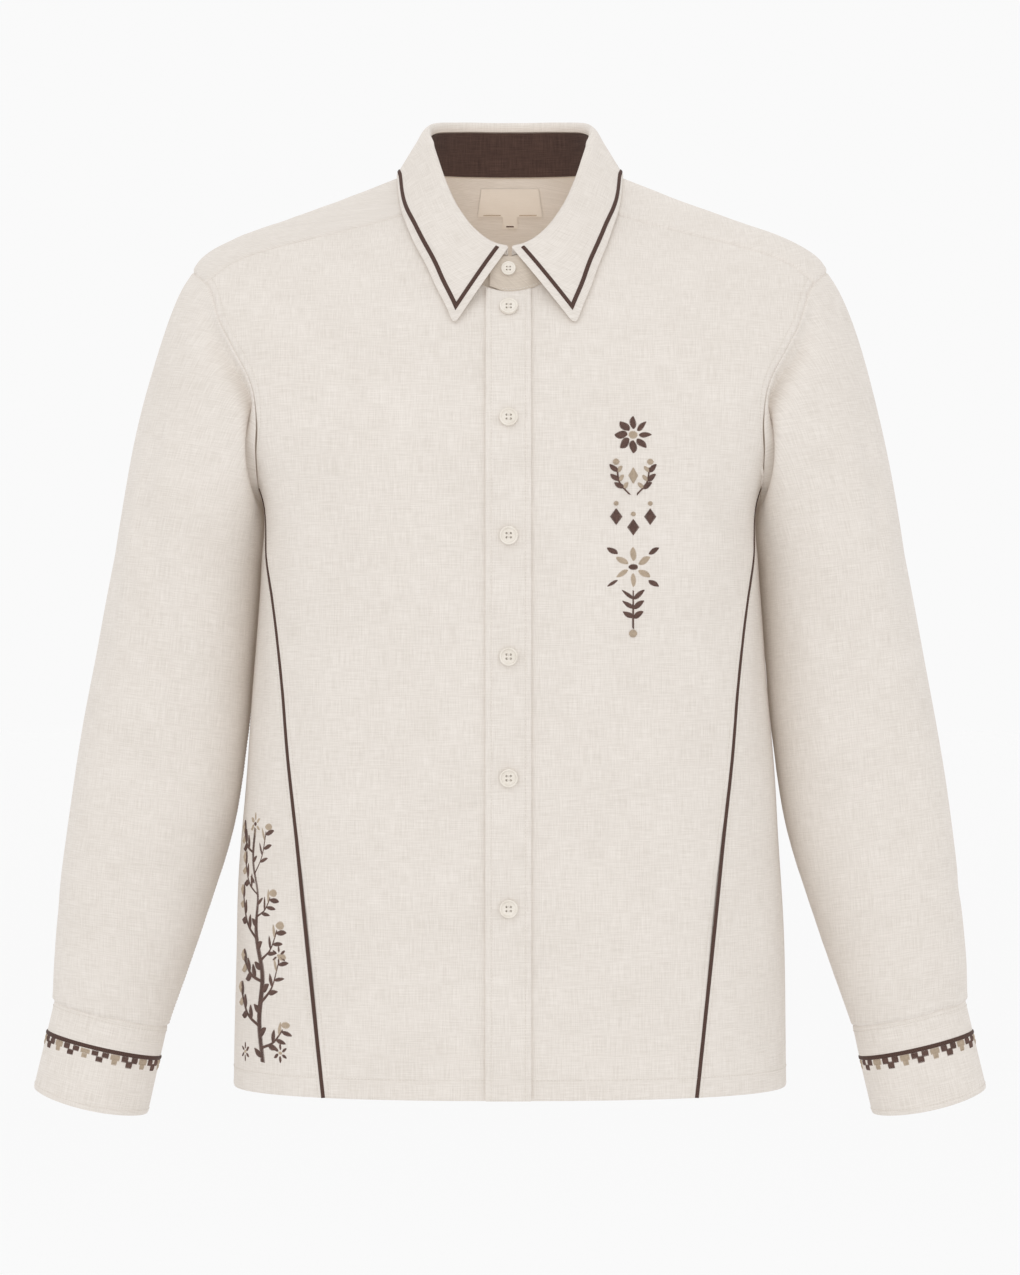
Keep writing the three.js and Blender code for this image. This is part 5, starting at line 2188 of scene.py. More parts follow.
    def build(self) -> None:
        """Makes the panels and the stitching on them."""
        s, cloth = self.surface, self.room.cloth
        plain, seam, tucked, folded = Finish.PLAIN, Finish.SEAM, Finish.TUCKED, Finish.FOLDED
        fronts = (
            (Side.LEFT, FRONT_CREASES, 0.4, Cut(0.235, 0.69, 0.121)),
            (Side.RIGHT, OTHER_FRONT_CREASES, 2.3, Cut(0.256, 0.69, 0.134)),
        )
        for (side, creases, phase, cut), x in zip(fronts, self.front_edges):
            front = lay(s, self.front_places(x), (plain, seam, folded, seam), 0, creases, 0.7, phase)
            cloth(side.named("front"), side.grid(front), cut)
        for side, phase in ((Side.LEFT, 1.1), (Side.RIGHT, 4.2)):
            panel = lay(s, self.side_places(), (tucked, tucked, folded, seam), 0, SIDE_CREASES, 0.8, phase)
            cloth(side.named("side_panel"), side.grid(panel), Cut(0.265, 0.47, 0.091))
        back = lay(s, self.back_places(), (seam, seam, folded, seam), 0, BACK_CREASES, 0.9, 0.9)
        cloth("back", back, Cut(0.48, 0.59, 0.215))
        yoke = lay(s, self.yoke_places()[:, ::-1], (tucked, tucked, tucked, plain), 0, YOKE_CREASES, 0.5, 3.0)
        cloth("yoke", yoke, Cut(0.5, 0.24, 0.09))
        band = lay(s, self.band_places(), ALL_FOLDED, self.band_lift, (), 0.25, 1.4)
        cloth("front_band", band, Cut(0.035, 0.65, 0.0227), self.band_cloth)
        self.stitch()

    def stitch(self) -> None:
        """Adds the rows of stitches on the panels."""
        run, top = self.room.stitch, self.topstitch
        share = self.seam_rows / (self.seam_rows + self.armhole_rows)
        for side in Side:
            edge, name = Edge.END if side is Side.LEFT else Edge.START, side.named("front")
            run(name, edge, self.front_stitch, 0, share - 0.02)
            run(name, edge, top, share + 0.02)
            run(name, Edge.BOTTOM, self.hem_stitch)
        for side in Side:
            edge, name = Edge.START if side is Side.LEFT else Edge.END, side.named("side_panel")
            run(name, edge, self.panel_stitch, 0, 0.97)
            run(name, Edge.BOTTOM, self.hem_stitch)
            run(name, Edge.TOP, top)
        share = self.seam_rows / (self.seam_rows + self.back_armhole_rows)
        for edge in (Edge.START, Edge.END):
            run("back", edge, self.edge_stitch, 0, share)
            run("back", edge, top)
        run("back", Edge.BOTTOM, self.hem_stitch)
        run("back", Edge.TOP, self.edge_stitch)
        for inset in (self.yoke_stitch, 2 * self.yoke_stitch):
            run("yoke", Edge.BOTTOM, inset, 0.0, 0.2)
            run("yoke", Edge.BOTTOM, inset, 0.8, 1.0)
        for edge in (Edge.START, Edge.END):
            run("yoke", edge, self.yoke_stitch)
        for edge in (Edge.START, Edge.END):
            run("front_band", edge, self.band_stitch)


@dataclass
class Sleeves:
    """The sleeves with their opening bands, and the cuffs."""

    room: Workroom
    surface: SleeveSurface
    cuff: CuffSurface
    cuff_cloth: float = 2.0
    underarm: float = -168.0
    band_around: float = 285.0
    band_width: float = 22.0
    band_radius: float = 40.0
    band_lift: float = 1.8
    band_sections: tuple[float, float] = (4.18, 5.97)
    cuff_stitch: float = 4.2
    band_stitch: float = 2.0
    underarm_stitch: float = 4.5
    armpit_row: int = 0
    seam_rise: float = 5.0
    last_section_length: float = 42.0
    gullies: tuple[Gully, ...] = (Gully(0.56, 0.93, (13.0, 2.5), 15.0), Gully(0.08, 0.32, (3.5, 9.0), 5.0))

    def sleeve_places(self) -> Array:
        """The sleeve, from its seam under the arm once round, and from the armhole to the cuff.

        Returns:
            Rows of columns of places.
        """
        around = self.underarm + 360 * crowded(112, 370)
        cap = -1 + crowded(40, 170, near_end=False)
        self.armpit_row = len(cap) - 1
        arm = crowded(100, 360, near_start=False) * (LAST_SECTION - self.seam_rise / self.last_section_length)
        at = np.concatenate([cap, arm[1:]])
        return np.stack(np.meshgrid(around, at), -1)

    def band_places(self) -> Array:
        """The strip on the sleeve's opening, at the back of the wrist.

        Returns:
            Rows of columns of places.
        """
        half = self.band_width / 2 / self.band_radius
        around = self.band_around + math.degrees(half) * np.linspace(-1, 1, 12)
        at = np.linspace(*self.band_sections, 46)
        return np.stack(np.meshgrid(around, at), -1)

    def cuff_places(self) -> Array:
        """The cuff, from its inner end to its lapping end.

        Returns:
            Rows of columns of places.
        """
        turns = self.cuff.full_turn * crowded(116, 260)
        down = (self.cuff.length + self.seam_rise) * crowded(28, 70) - self.seam_rise
        return np.stack(np.meshgrid(turns, down), -1)

    def build(self) -> None:
        """Makes both sleeves and cuffs and the stitching on them."""
        edges, cloth = (Finish.SEAM, Finish.SEAM, Finish.TUCKED, Finish.TUCKED), self.room.cloth
        for side, creases, phase in (
            (Side.LEFT, SLEEVE_CREASES, 0.3),
            (Side.RIGHT, OTHER_SLEEVE_CREASES, 2.9),
        ):
            places = self.sleeve_places()
            sleeve = lay(self.surface, places, edges, 0, creases, 0.8, phase, self.armpit_row, self.gullies)
            band = lay(self.surface, self.band_places(), ALL_FOLDED, self.band_lift)
            cuff = lay(self.cuff, self.cuff_places(), ALL_FOLDED, 0, (), 0.35, phase)
            cloth(side.named("sleeve"), side.grid(sleeve), Cut(0.42, 0.56, 0.195), closed=True)
            cloth(side.named("sleeve_band"), side.grid(band), Cut(0.023, 0.115, 0.0026))
            cloth(side.named("cuff"), side.grid(cuff), Cut(0.29, 0.067, 0.0188), self.cuff_cloth, Held.FOLDED)
            self.stitch(side)

    def stitch(self, side: Side) -> None:
        """Adds the rows of stitches of one sleeve.

        Args:
            side: The side of the wearer.
        """
        for name, inset in (("cuff", self.cuff_stitch), ("sleeve_band", self.band_stitch)):
            for edge in Edge:
                self.room.stitch(side.named(name), edge, inset)
        self.room.stitch(side.named("sleeve"), Edge.START, self.underarm_stitch, 0.06, 0.97)


@dataclass
class Collar:
    """The collar's stand, its dark lining and its fall, and the label inside the neck."""

    room: Workroom
    body: BodySurface
    stand: StandSurface
    fall: FallSurface
    lap_angle: float = 11.0
    stand_cloth: float = 1.2
    lining_cloth: float = 1.0
    lining_lift: float = -1.5
    fall_cloth: float = 2.0
    fall_half_length: float = 265.0
    fall_depth: float = 85.0
    roll_share: float = 0.27
    tip: float = 6.0
    label_size: tuple[float, float] = (48.0, 21.5)
    tab_size: tuple[float, float] = (12.0, 10.0)
    tab_top: float = -20.5
    label_lift: float = -1.3

    def stand_places(self, reach: float, foot: float, steps: int) -> Array:
        """The places of one layer of the stand, with its corners cut back at a lap.

        Args:
            reach: How far round it goes, each way.
            foot: Where it starts, as a share of its height.
            steps: How many columns it has.

        Returns:
            Rows of columns of places.
        """
        turns = np.linspace(-reach, reach, steps)
        lapping = ease(178, 180 + self.lap_angle, np.abs(turns)) ** 2
        bottom, top = foot + 0.06 * lapping, 0.985 - 0.15 * lapping
        rows = crowded(16, 38)[:, None]
        return np.stack(np.broadcast_arrays(turns, bottom + (top - bottom) * rows), -1)

    def fall_places(self) -> Array:
        """The places of the fall, closer together over its roll.

        Returns:
            Rows of columns of places.
        """
        shares = 2 * crowded(250, 560) - 1
        roll, down = np.linspace(0, self.roll_share, 16), crowded(34, 60, near_start=False)
        downs = np.concatenate([roll[:-1], self.roll_share + (1 - self.roll_share) * down])
        share, down = np.meshgrid(shares, downs)
        size = self.tip / self.fall_half_length, self.tip / self.fall_depth
        a = np.clip(1 - (1 - np.abs(share)) / size[0], 0, 1)
        b = np.clip(1 - (1 - down) / size[1], 0, 1)
        share = share - np.sign(share) * size[0] * a * (1 - np.sqrt(1 - b**2 / 2))
        return np.stack([share, down - size[1] * b * (1 - np.sqrt(1 - a**2 / 2))], -1)

    def build(self) -> None:
        """Makes the collar and its stitching."""
        plain, folded = Finish.PLAIN, Finish.FOLDED
        cloth, finishes = self.room.cloth, self.room.finishes
        stand = lay(self.stand, self.stand_places(180 + self.lap_angle, 0.0, 240), (plain, plain, plain, folded))
        # the stand is cut from the darker linen copy: painted shade under the fall
        cloth("collar_stand", stand, Cut(0.49, 0.045, 0.0169), self.stand_cloth, material=finishes.shaded)
        lining = lay(self.stand, self.stand_places(180, 0.02, 230), lift=self.lining_lift)
        cut = Cut(0.47, 0.042, 0.0152)
        cloth("stand_lining", lining, cut, self.lining_cloth, slot=Slot.DARK, material=finishes.lining)
        fall = lay(self.fall, self.fall_places(), (folded, folded, plain, folded), 0, (), 0.3, 0.8)
        cloth("collar_fall", fall, Cut(0.53, 0.085, 0.0315), self.fall_cloth, Held.FOLDED)
        self.room.stitch("collar_stand", Edge.BOTTOM, 1.6, 0.02, 0.98)
        self.label()

    def inside_places(self, width: float, top: float, bottom: float, steps: int) -> Array:
        """The places of a flat piece inside the upper back.

        Args:
            width: Its width.
            top: The height of its top.
            bottom: The height of its bottom.
            steps: How many rows and columns it has.

        Returns:
            Rows of columns of places.
        """
        half = math.degrees(width / 2 / float(self.body.back((top + bottom) / 2)))
        angles = 180 + half * np.linspace(-1, 1, steps)
        return np.stack(np.meshgrid(angles, np.linspace(bottom, top, steps)), -1)

    def label(self) -> None:
        """Makes the blank label and the tab under it, sewn inside the yoke."""
        material = self.room.finishes.label
        wide, tall = self.tab_size
        places = self.inside_places(wide, self.tab_top, self.tab_top - tall, 10)
        tab = lay(self.body, places, lift=self.label_lift)
        piece = grid_mesh("size_tab_weave", tab, 0.35)
        dress(piece, material, ["size_tab"])
        self.room.sew_on("label", piece)
        wide, tall = self.label_size
        label = lay(self.body, self.inside_places(wide, 0, -tall, 24), lift=self.label_lift)
        cut = Cut(0.052, 0.022, 0.0011)
        self.room.cloth("label", label, cut, 0.3, slot=Slot.LABEL, material=material, weave="weave")


@dataclass
class Trim:
    """The dark braid on the long seams, the collar and the cuffs."""

    room: Workroom
    panels: BodyPanels
    fall: FallSurface
    cuff: CuffSurface
    width: float = 3.3
    height: float = 0.6
    lift: float = 0.1
    pitch: float = 1.7
    backing: float = 0.5
    cuff_down: float = 20.3

    def lay_braid(self, name: str, carrier: str, points: Array, normals: Array) -> None:
        """Lays one length of braid along a line on the named piece of cloth.

        Args:
            name: The node that it stands for.
            carrier: The piece of cloth.
            points: The line's points.
            normals: The normals at them.
        """
        grid = braid_grid(points, normals, self.width, self.height, self.lift, self.pitch)
        piece = grid_mesh(f"{name}_plait", grid, self.backing)
        dress(piece, self.room.finishes.braid, [name])
        self.room.sew_on(carrier, piece)

    def lay_pair(self, name: str, carrier: str, surface: Surface, places: Array) -> None:
        """Lays a length of braid on the left side, and the same on the right.

        Args:
            name: What the braid is called.
            carrier: What the piece of cloth is called.
            surface: The left side's surface.
            places: The line's places on it.
        """
        points, normals = surface.point(*places.T), surface.normal(*places.T)
        for side in Side:
            self.lay_braid(side.named(name), side.named(carrier), side.turned(points), side.turned(normals))

    def build(self) -> None:
        """Makes all the braid."""
        seam = self.panels.long_seam(FRONT_SEAM, AT_FRONT_SEAM)(np.linspace(0, 0.975, 300))
        self.lay_pair("seam_braid", "front", self.panels.surface, seam)
        path = self.fall.braid_path().T
        self.lay_braid("collar_braid", "collar_fall", self.fall.point(*path), self.fall.normal(*path))
        turns = np.linspace(self.cuff.full_turn - 358, self.cuff.full_turn - 0.5, 240)
        self.lay_pair("cuff_braid", "cuff", self.cuff, np.stack([turns, np.full(240, self.cuff_down)], -1))


# ---- Embroidery ----


class Tone(Enum):
    """The two colours of embroidery thread."""

    DARK = "dark"
    PALE = "pale"


@dataclass
class Design:
    """Embroidery on flat cloth, as threads from one point to another, in millimetres across and up."""

    pitch: float = 0.5
    threads: dict[Tone, list[Array]] = field(default_factory=lambda: {tone: [] for tone in Tone})

    def add(self, tone: Tone, start: Array, end: Array) -> None:
        """Adds threads from start points to end points."""
        self.threads[tone].append(np.stack([start, end], 1))

    def leaf(self, tone: Tone, x: float, y: float, angle: float, length: float, width: float) -> None:
        """Adds a leaf in slanting satin stitch, from its base outwards.

        Args:
            tone: The thread's colour.
            x: Its base, across.
            y: Its base, up.
            angle: Its direction in degrees.
            length: Its length.
            width: Its width.
        """
        t = np.arange(self.pitch / 2, length, self.pitch) / length
        turn = math.radians(angle)
        along, aside = np.array([math.cos(turn), math.sin(turn)]), np.array([-math.sin(turn), math.cos(turn)])
        half = width / 2 * np.sin(np.pi * t**0.85)[:, None] ** 0.8 + 0.25
        middle = np.array([x, y]) + along * (t * length)[:, None]
        self.add(tone, middle - aside * half - along * 0.35 * half, middle + aside * half + along * 0.35 * half)

    def berry(self, tone: Tone, x: float, y: float, radius: float) -> None:
        """Adds a round spot in upright satin stitch.

        Args:
            tone: The thread's colour.
            x: Its middle, across.
            y: Its middle, up.
            radius: Its radius.
        """
        across = np.arange(-radius + self.pitch / 2, radius, self.pitch)
        half = np.sqrt(np.maximum(radius**2 - across**2, 0.2))
        middle = np.stack([x + across, np.full_like(across, y)], -1)
        reach = np.stack([np.zeros_like(half), half], -1)
        self.add(tone, middle - reach, middle + reach)

    def block(self, tone: Tone, x: float, y: float, width: float, height: float) -> None:
        """Adds a block in upright satin stitch, by its middle.

        Args:
            tone: The thread's colour.
            x: Its middle, across.
            y: Its middle, up.
            width: Its width.
            height: Its height.
        """
        across = x + np.arange(-width / 2 + self.pitch / 2, width / 2, self.pitch)
        low = np.stack([across, np.full_like(across, y - height / 2)], -1)
        self.add(tone, low, low + (0, height))

    def lozenge(self, tone: Tone, x: float, y: float, width: float, height: float) -> None:
        """Adds a diamond in level satin stitch.

        Args:
            tone: The thread's colour.
            x: Its middle, across.
            y: Its middle, up.
            width: Its width.
            height: Its height.
        """
        up = np.arange(-height / 2 + self.pitch / 2, height / 2, self.pitch)
        half = width / 2 * (1 - np.abs(up) / (height / 2)) + 0.3
        middle = np.stack([np.full_like(up, x), y + up], -1)
        reach = np.stack([half, np.zeros_like(half)], -1)
        self.add(tone, middle - reach, middle + reach)

    def stem(self, tone: Tone, points: Sequence[tuple[float, float]], width: float) -> Array:
        """Adds a stem in rope stitch along a smooth curve.

        Args:
            tone: Its colour.
            points: The points that the curve passes.
            width: Its width.

        Returns:
            The curve's points, closely spaced.
        """
        table = np.array(points, float)
        keys = np.concatenate([[0], np.cumsum(np.linalg.norm(np.diff(table, axis=0), axis=-1))])
        at = np.arange(0, keys[-1], 0.62)
        line = np.stack([Curve(keys, column)(at) for column in table.T], -1)
        along = unit(np.gradient(line, axis=0))
        aside = np.stack([-along[:, 1], along[:, 0]], -1)
        self.add(tone, line - along * 0.8 - aside * width / 2, line + along * 0.8 + aside * width / 2)
        return line

    def rosette(self, tone: Tone, heart: Tone, x: float, y: float, radius: float, petals: int) -> None:
        """Adds a flower of pointed petals round a heart.

        Args:
            tone: The petals' colour.
            heart: The heart's colour.
            x: Its middle, across.
            y: Its middle, up.
            radius: Its radius.
            petals: How many petals it has.
        """
        for i in range(petals):
            angle = 90 + i * 360 / petals
            turn = math.radians(angle)
            near = radius * 0.32
            self.leaf(tone, x + near * math.cos(turn), y + near * math.sin(turn), angle, radius * 0.68, radius * 0.42)
        self.berry(heart, x, y, radius * 0.24)


@dataclass
class Embroidery:
    """The embroidery: a hanging stepped border on each cuff, motifs on the chest and a sprig on the side."""

    room: Workroom
    body: BodySurface
    cuff: CuffSurface
    thread_width: float = 0.62
    thread_height: float = 0.62
    seat: float = 0.28
    border_repeats: int = 11
    border_top: float = 21.9
    block_height: float = 4.0
    label_depth: float = 1.5
    twigs: int = 10
    chest_place: tuple[float, float] = (93.0, -279.0)
    sprig_place: tuple[float, float] = (238.0, -590.0)

    def sew(self, name: str, carrier: str, design: Design, placed: Placing) -> None:
        """Sews a design on the cloth, one piece for each colour.

        Args:
            name: What the design is called.
            carrier: The piece of cloth that it is sewn on.
            design: The design.
            placed: Gives the points and normals of the cloth at places across and up the design.
        """
        finishes, width, height = self.room.finishes, self.thread_width, self.thread_height
        for tone, material in ((Tone.DARK, finishes.dark_thread), (Tone.PALE, finishes.pale_thread)):
            if not design.threads[tone]:
                continue
            threads = np.concatenate(design.threads[tone])
            start, normal = placed(threads[:, 0])
            end, _ = placed(threads[:, 1])
            seat = normal * self.seat
            ends = start + seat, end + seat, normal
            piece = self.room.thread.copies(f"{name}_{tone.value}", *ends, width, height)
            dress(piece, material, ())
            self.room.sew_on(carrier, piece)

    def border(self) -> Design:
        """A border of hanging stepped motifs: two blocks over one, dark and pale by turns.

        Returns:
            The design.
        """
        design = Design(pitch=0.52)
        length = float(self.cuff.lengths[-1]) - self.cuff.lap
        repeat = length / self.border_repeats
        h = self.block_height
        for i in range(self.border_repeats):
            x = (i + 0.5) * repeat
            for across in (-4.1, 4.1):
                design.block(Tone.DARK, x + across, h * 0.52, 5.2, h + 1.2)
            design.block(Tone.DARK, x, h * 1.46, 5.2, h + 1.4)
            design.block(Tone.PALE, x + repeat / 2, h * 0.55, 7.4, h + 0.8)
            design.block(Tone.PALE, x + repeat / 2, h * 1.38, 4.4, h + 1.2)
        return design

    def chest(self) -> Design:
        """Eight-pointed rosettes, paired sprigs and lozenges, set by turns down the left chest.

        Returns:
            The design.
        """
        design = Design()
        design.rosette(Tone.DARK, Tone.PALE, 0, 74, 14, 8)
        for side in (-1, 1):
            line = design.stem(Tone.DARK, [(side * 3, 29), (side * 10, 37), (side * 12.5, 49)], 1.1)
            for i, share in enumerate((0.3, 0.6, 0.9)):
                x, y = line[int(share * (len(line) - 1))]
                design.leaf(Tone.DARK, x, y, 90 - side * (58 - 6 * i), 8, 3.6)
                design.leaf(Tone.PALE, x, y, 90 + side * 40, 5.6, 2.8)
            design.berry(Tone.PALE, side * 13, 53.5, 2.4)
        design.lozenge(Tone.PALE, 0, 43, 7, 12)
        for x, y in ((-13, 12), (0, 4), (13, 12)):
            design.lozenge(Tone.DARK, x, y, 9, 12)
            design.berry(Tone.PALE, x, y + 10, 1.8)
        design.rosette(Tone.PALE, Tone.DARK, 0, -26, 15, 6)
        for side in (-1, 1):
            design.leaf(Tone.DARK, side * 12, -16, 90 - side * 60, 9, 4)
            design.leaf(Tone.DARK, side * 12, -36, -90 + side * 60, 9, 4)
        line = design.stem(Tone.DARK, [(0, -44), (0, -72)], 1.4)
        for i, y in enumerate((-50, -57, -64)):
            for side in (-1, 1):
                design.leaf(Tone.DARK, 0, y, 90 - side * (52 + 4 * i), 11 - i, 4)
        design.berry(Tone.PALE, 0, -76, 3)
        return design

    def sprig(self) -> Design:
        """A climbing branch with leafy twigs on both sides, buds and blossoms.

        Returns:
            The design.
        """
        design = Design()
        trunk = design.stem(
            Tone.DARK, [(34, -92), (29, -60), (33, -26), (24, 6), (26, 36), (17, 62), (19, 86)], 6.0
        )
        for i, share in enumerate(np.linspace(0.06, 0.9, self.twigs)):
            x, y = trunk[int(share * (len(trunk) - 1))]
            side = -1 if i % 2 else 1
            reach = (25 - 12 * share) if side > 0 else (32 - 10 * share)
            rise = 15 + 9 * (i % 3)
            self.twig(design, (x, y), (side * reach, rise))
            design.leaf(Tone.DARK, x, y - 7, 90 + side * 55, 11 - 3 * share, 5)
        design.rosette(Tone.PALE, Tone.DARK, 19, 89, 9, 6)
        for x, y in ((54, -84), (8, -86), (52, -10)):
            design.rosette(Tone.DARK, Tone.PALE, x, y, 7.5, 6)
        return design

    def twig(self, design: Design, foot: tuple[float, float], reach: tuple[float, float]) -> None:
        """Adds a twig with paired leaves and a bud at its tip.

        Args:
            design: The design.
            foot: Where it starts.
            reach: How far it goes across and up.
        """
        (x, y), (out, rise) = foot, reach
        line = design.stem(Tone.DARK, [(x, y), (x + out * 0.6, y + rise * 0.35), (x + out, y + rise)], 2.4)
        turn = math.degrees(math.atan2(rise, out))
        for i, share in enumerate((0.34, 0.5, 0.66, 0.82, 0.96)):
            x, y = line[int(share * (len(line) - 1))]
            tone = Tone.PALE if i == 3 else Tone.DARK
            design.leaf(tone, x, y, turn + (48 if i % 2 else -48), 10.5, 5.4)
        design.berry(Tone.PALE, line[-1][0] + math.copysign(3, out), line[-1][1] + 4, 4.2)

    def tacks(self) -> Design:
        """The stitches that hold the label and the tab under it.

        Returns:
            The design.
        """
        design = Design()
        for side in (-1, 1):
            design.stem(Tone.PALE, [(side * 8, -20.3), (side * 14, -20.3), (side * 21, -20.3)], 0.5)
        design.block(Tone.DARK, 0, -28.9, 6.0, 1.4)
        return design

    def on_body(self, across: float, z: float, side: Side) -> Placing:
        """Places a design on the body.

        Args:
            across: How far its middle is round from the centre front.
            z: The height of its middle.
            side: The side of the wearer.

        Returns:
            A function that gives points and normals.
        """

        def placed(flat: Array) -> tuple[Array, Array]:
            """Points and normals at places on the design."""
            places = self.body.place_beside(across + side.value * flat[:, 0], z + flat[:, 1]).T
            return side.turned(self.body.point(*places)), side.turned(self.body.normal(*places))

        return placed

    def on_label(self, flat: Array) -> tuple[Array, Array]:
        """Points and normals at places on the label, which faces into the neck.

        Args:
            flat: Places across and up the design.

        Returns:
            The points and normals.
        """
        z = flat[:, 1]
        angle = 180 - np.degrees(flat[:, 0] / self.body.back(z))
        normal = self.body.normal(angle, z)
        return self.body.point(angle, z) - normal * self.label_depth, -normal

    def on_cuff(self, side: Side) -> Placing:
        """Places the border on a cuff, its top just under the braid.

        Args:
            side: The side of the wearer.

        Returns:
            A function that gives points and normals.
        """

        def placed(flat: Array) -> tuple[Array, Array]:
            """Points and normals at places on the design."""
            places = self.cuff.place(self.cuff.lap + flat[:, 0], self.border_top + flat[:, 1]).T
            return side.turned(self.cuff.point(*places)), side.turned(self.cuff.normal(*places))

        return placed

    def build(self) -> None:
        """Makes all the embroidery."""
        for side in Side:
            self.sew(side.named("cuff_border"), side.named("cuff"), self.border(), self.on_cuff(side))
        self.sew("chest_motifs", "front_left", self.chest(), self.on_body(*self.chest_place, Side.LEFT))
        self.sew("side_sprig", "side_panel_right", self.sprig(), self.on_body(*self.sprig_place, Side.RIGHT))
        self.sew("label_tacks", "label", self.tacks(), self.on_label)


# ---- Buttons ----


@dataclass
class Buttons:
    """Four-hole buttons on the band, the stand and the cuffs."""

    room: Workroom
    body: BodySurface
    stand: StandSurface
    cuff: CuffSurface
    x: float = -1.0
    radius: float = 7.0
    small_radius: float = 5.5
    thickness: float = 3.0
    hole: float = 0.85
    hole_spacing: float = 1.55
    dishing: tuple[tuple[float, float], ...] = ((1.25, 0.0), (0.45, 0.75), (1.1, 0.25))
    well: float = 0.95
    seat: float = 0.3
    over_band: float = 2.7
    stand_place: tuple[float, float] = (180.8, 0.62)
    cuff_place: tuple[float, float] = (14.0, 36.0)
    heights: tuple[float, ...] = (-108.3, -192.7, -281.5, -372.5, -463.5, -561.5)
    model: Piece | None = None

    def make_model(self) -> Piece:
        """Models one front button, facing up, with its underside at the origin.

        Returns:
            The button.
        """
        select_none()
        size, deep = self.radius * MM, self.thickness * MM
        bpy.ops.mesh.primitive_cylinder_add(vertices=48, radius=size, depth=deep, location=(0, 0, deep / 2))
        button = bpy.context.object
        bpy.ops.object.transform_apply(location=True, rotation=False, scale=False)
        bpy.ops.object.mode_set(mode="EDIT")
        bpy.ops.mesh.select_mode(type="FACE")
        bpy.ops.mesh.select_all(action="DESELECT")
        bpy.ops.object.mode_set(mode="OBJECT")
        for face in button.data.polygons:
            face.select = face.normal.z > 0.9
        bpy.ops.object.mode_set(mode="EDIT")
        for inset, drop in self.dishing:
            bpy.ops.mesh.inset(thickness=inset * MM)
            bpy.ops.transform.translate(value=(0, 0, -drop * MM))
        bpy.ops.object.mode_set(mode="OBJECT")
        apply_modifier(button, "BEVEL", width=0.35 * MM, segments=3, limit_method="ANGLE", angle_limit=0.5)
        for x in (-1, 1):
            for y in (-1, 1):
                self.drill(button, x * self.hole_spacing * MM, y * self.hole_spacing * MM)
        return button

    def drill(self, button: Piece, x: float, y: float) -> None:
        """Cuts one round hole through the button.

        Args:
            button: The button.
            x: The hole's middle, across.
            y: The hole's middle, up.
        """
        select_none()
        bpy.ops.mesh.primitive_cylinder_add(vertices=14, radius=self.hole * MM, depth=0.02, location=(x, y, 0))
        drill = bpy.context.object
        apply_modifier(button, "BOOLEAN", operation="DIFFERENCE", object=drill, solver="EXACT")
        bpy.data.objects.remove(drill)

    def place(self, name: str, point: Array, normal: Array, radius: float) -> None:
        """Places a copy of the button on the cloth, with its thread.

        Args:
            name: The node that it stands for.
            point: Where its underside lies.
            normal: Which way it faces.
            radius: Its radius.
        """
        only(self.model)
        bpy.ops.object.duplicate()
        button = bpy.context.object
        button.name = button.data.name = f"{name}_horn"
        up = unit(normal)
        aside = unit(np.cross(np.array([0.0, 0.0, 1.0]), up))
        frame = np.stack([aside, np.cross(up, aside), up])
        grow = radius / self.radius
        points = np.array([vertex.co[:] for vertex in button.data.vertices]) * grow
        base = point + up * self.seat
        button.data.vertices.foreach_set("co", (points @ frame + base * MM).ravel())
        button.data.update()
        smooth(button, 35)
        dress(button, self.room.finishes.horn, [name])
        reach = self.hole_spacing * grow
        top = base + up * (self.thickness - self.well) * grow
        starts = [top + frame[1] * row * reach - frame[0] * reach + up * 0.12 for row in (-1, 1)]
        ends = [start + frame[0] * 2 * reach for start in starts]
        ups = np.stack([up, up])
        stitches = np.array(starts), np.array(ends), ups
        thread = self.room.thread.copies(f"{name}_thread", *stitches, 0.9 * grow, 0.8)
        dress(thread, self.room.finishes.sewing, ())

    def build(self) -> None:
        """Makes all the buttons."""
        self.model = self.make_model()
        for i, z in enumerate(self.heights):
            angle = self.body.angle_at_x(self.x, np.array(z))
            normal = self.body.normal(angle, z)
            self.place(f"button_{i + 1}", self.body.point(angle, z) + normal * self.over_band, normal, self.radius)
        turn, up = np.array(self.stand_place)
        self.place("stand_button", self.stand.point(turn, up), self.stand.normal(turn, up), self.small_radius)
        turn, down = np.array(self.cuff_place) * (-1, 1) + (self.cuff.full_turn, 0)
        point, normal = self.cuff.point(turn, down), self.cuff.normal(turn, down)
        for side in Side:
            self.place(side.named("cuff_button"), side.turned(point), side.turned(normal), self.small_radius)
        bpy.data.objects.remove(self.model)


# ---- Studio ----


@dataclass(frozen=True)
class Softbox:
    """A large soft lamp."""

    name: str
    place: tuple[float, float, float]
    aim: tuple[float, float, float]
    size: float
    power: float
    colour: Colour = (1.0, 1.0, 1.0)


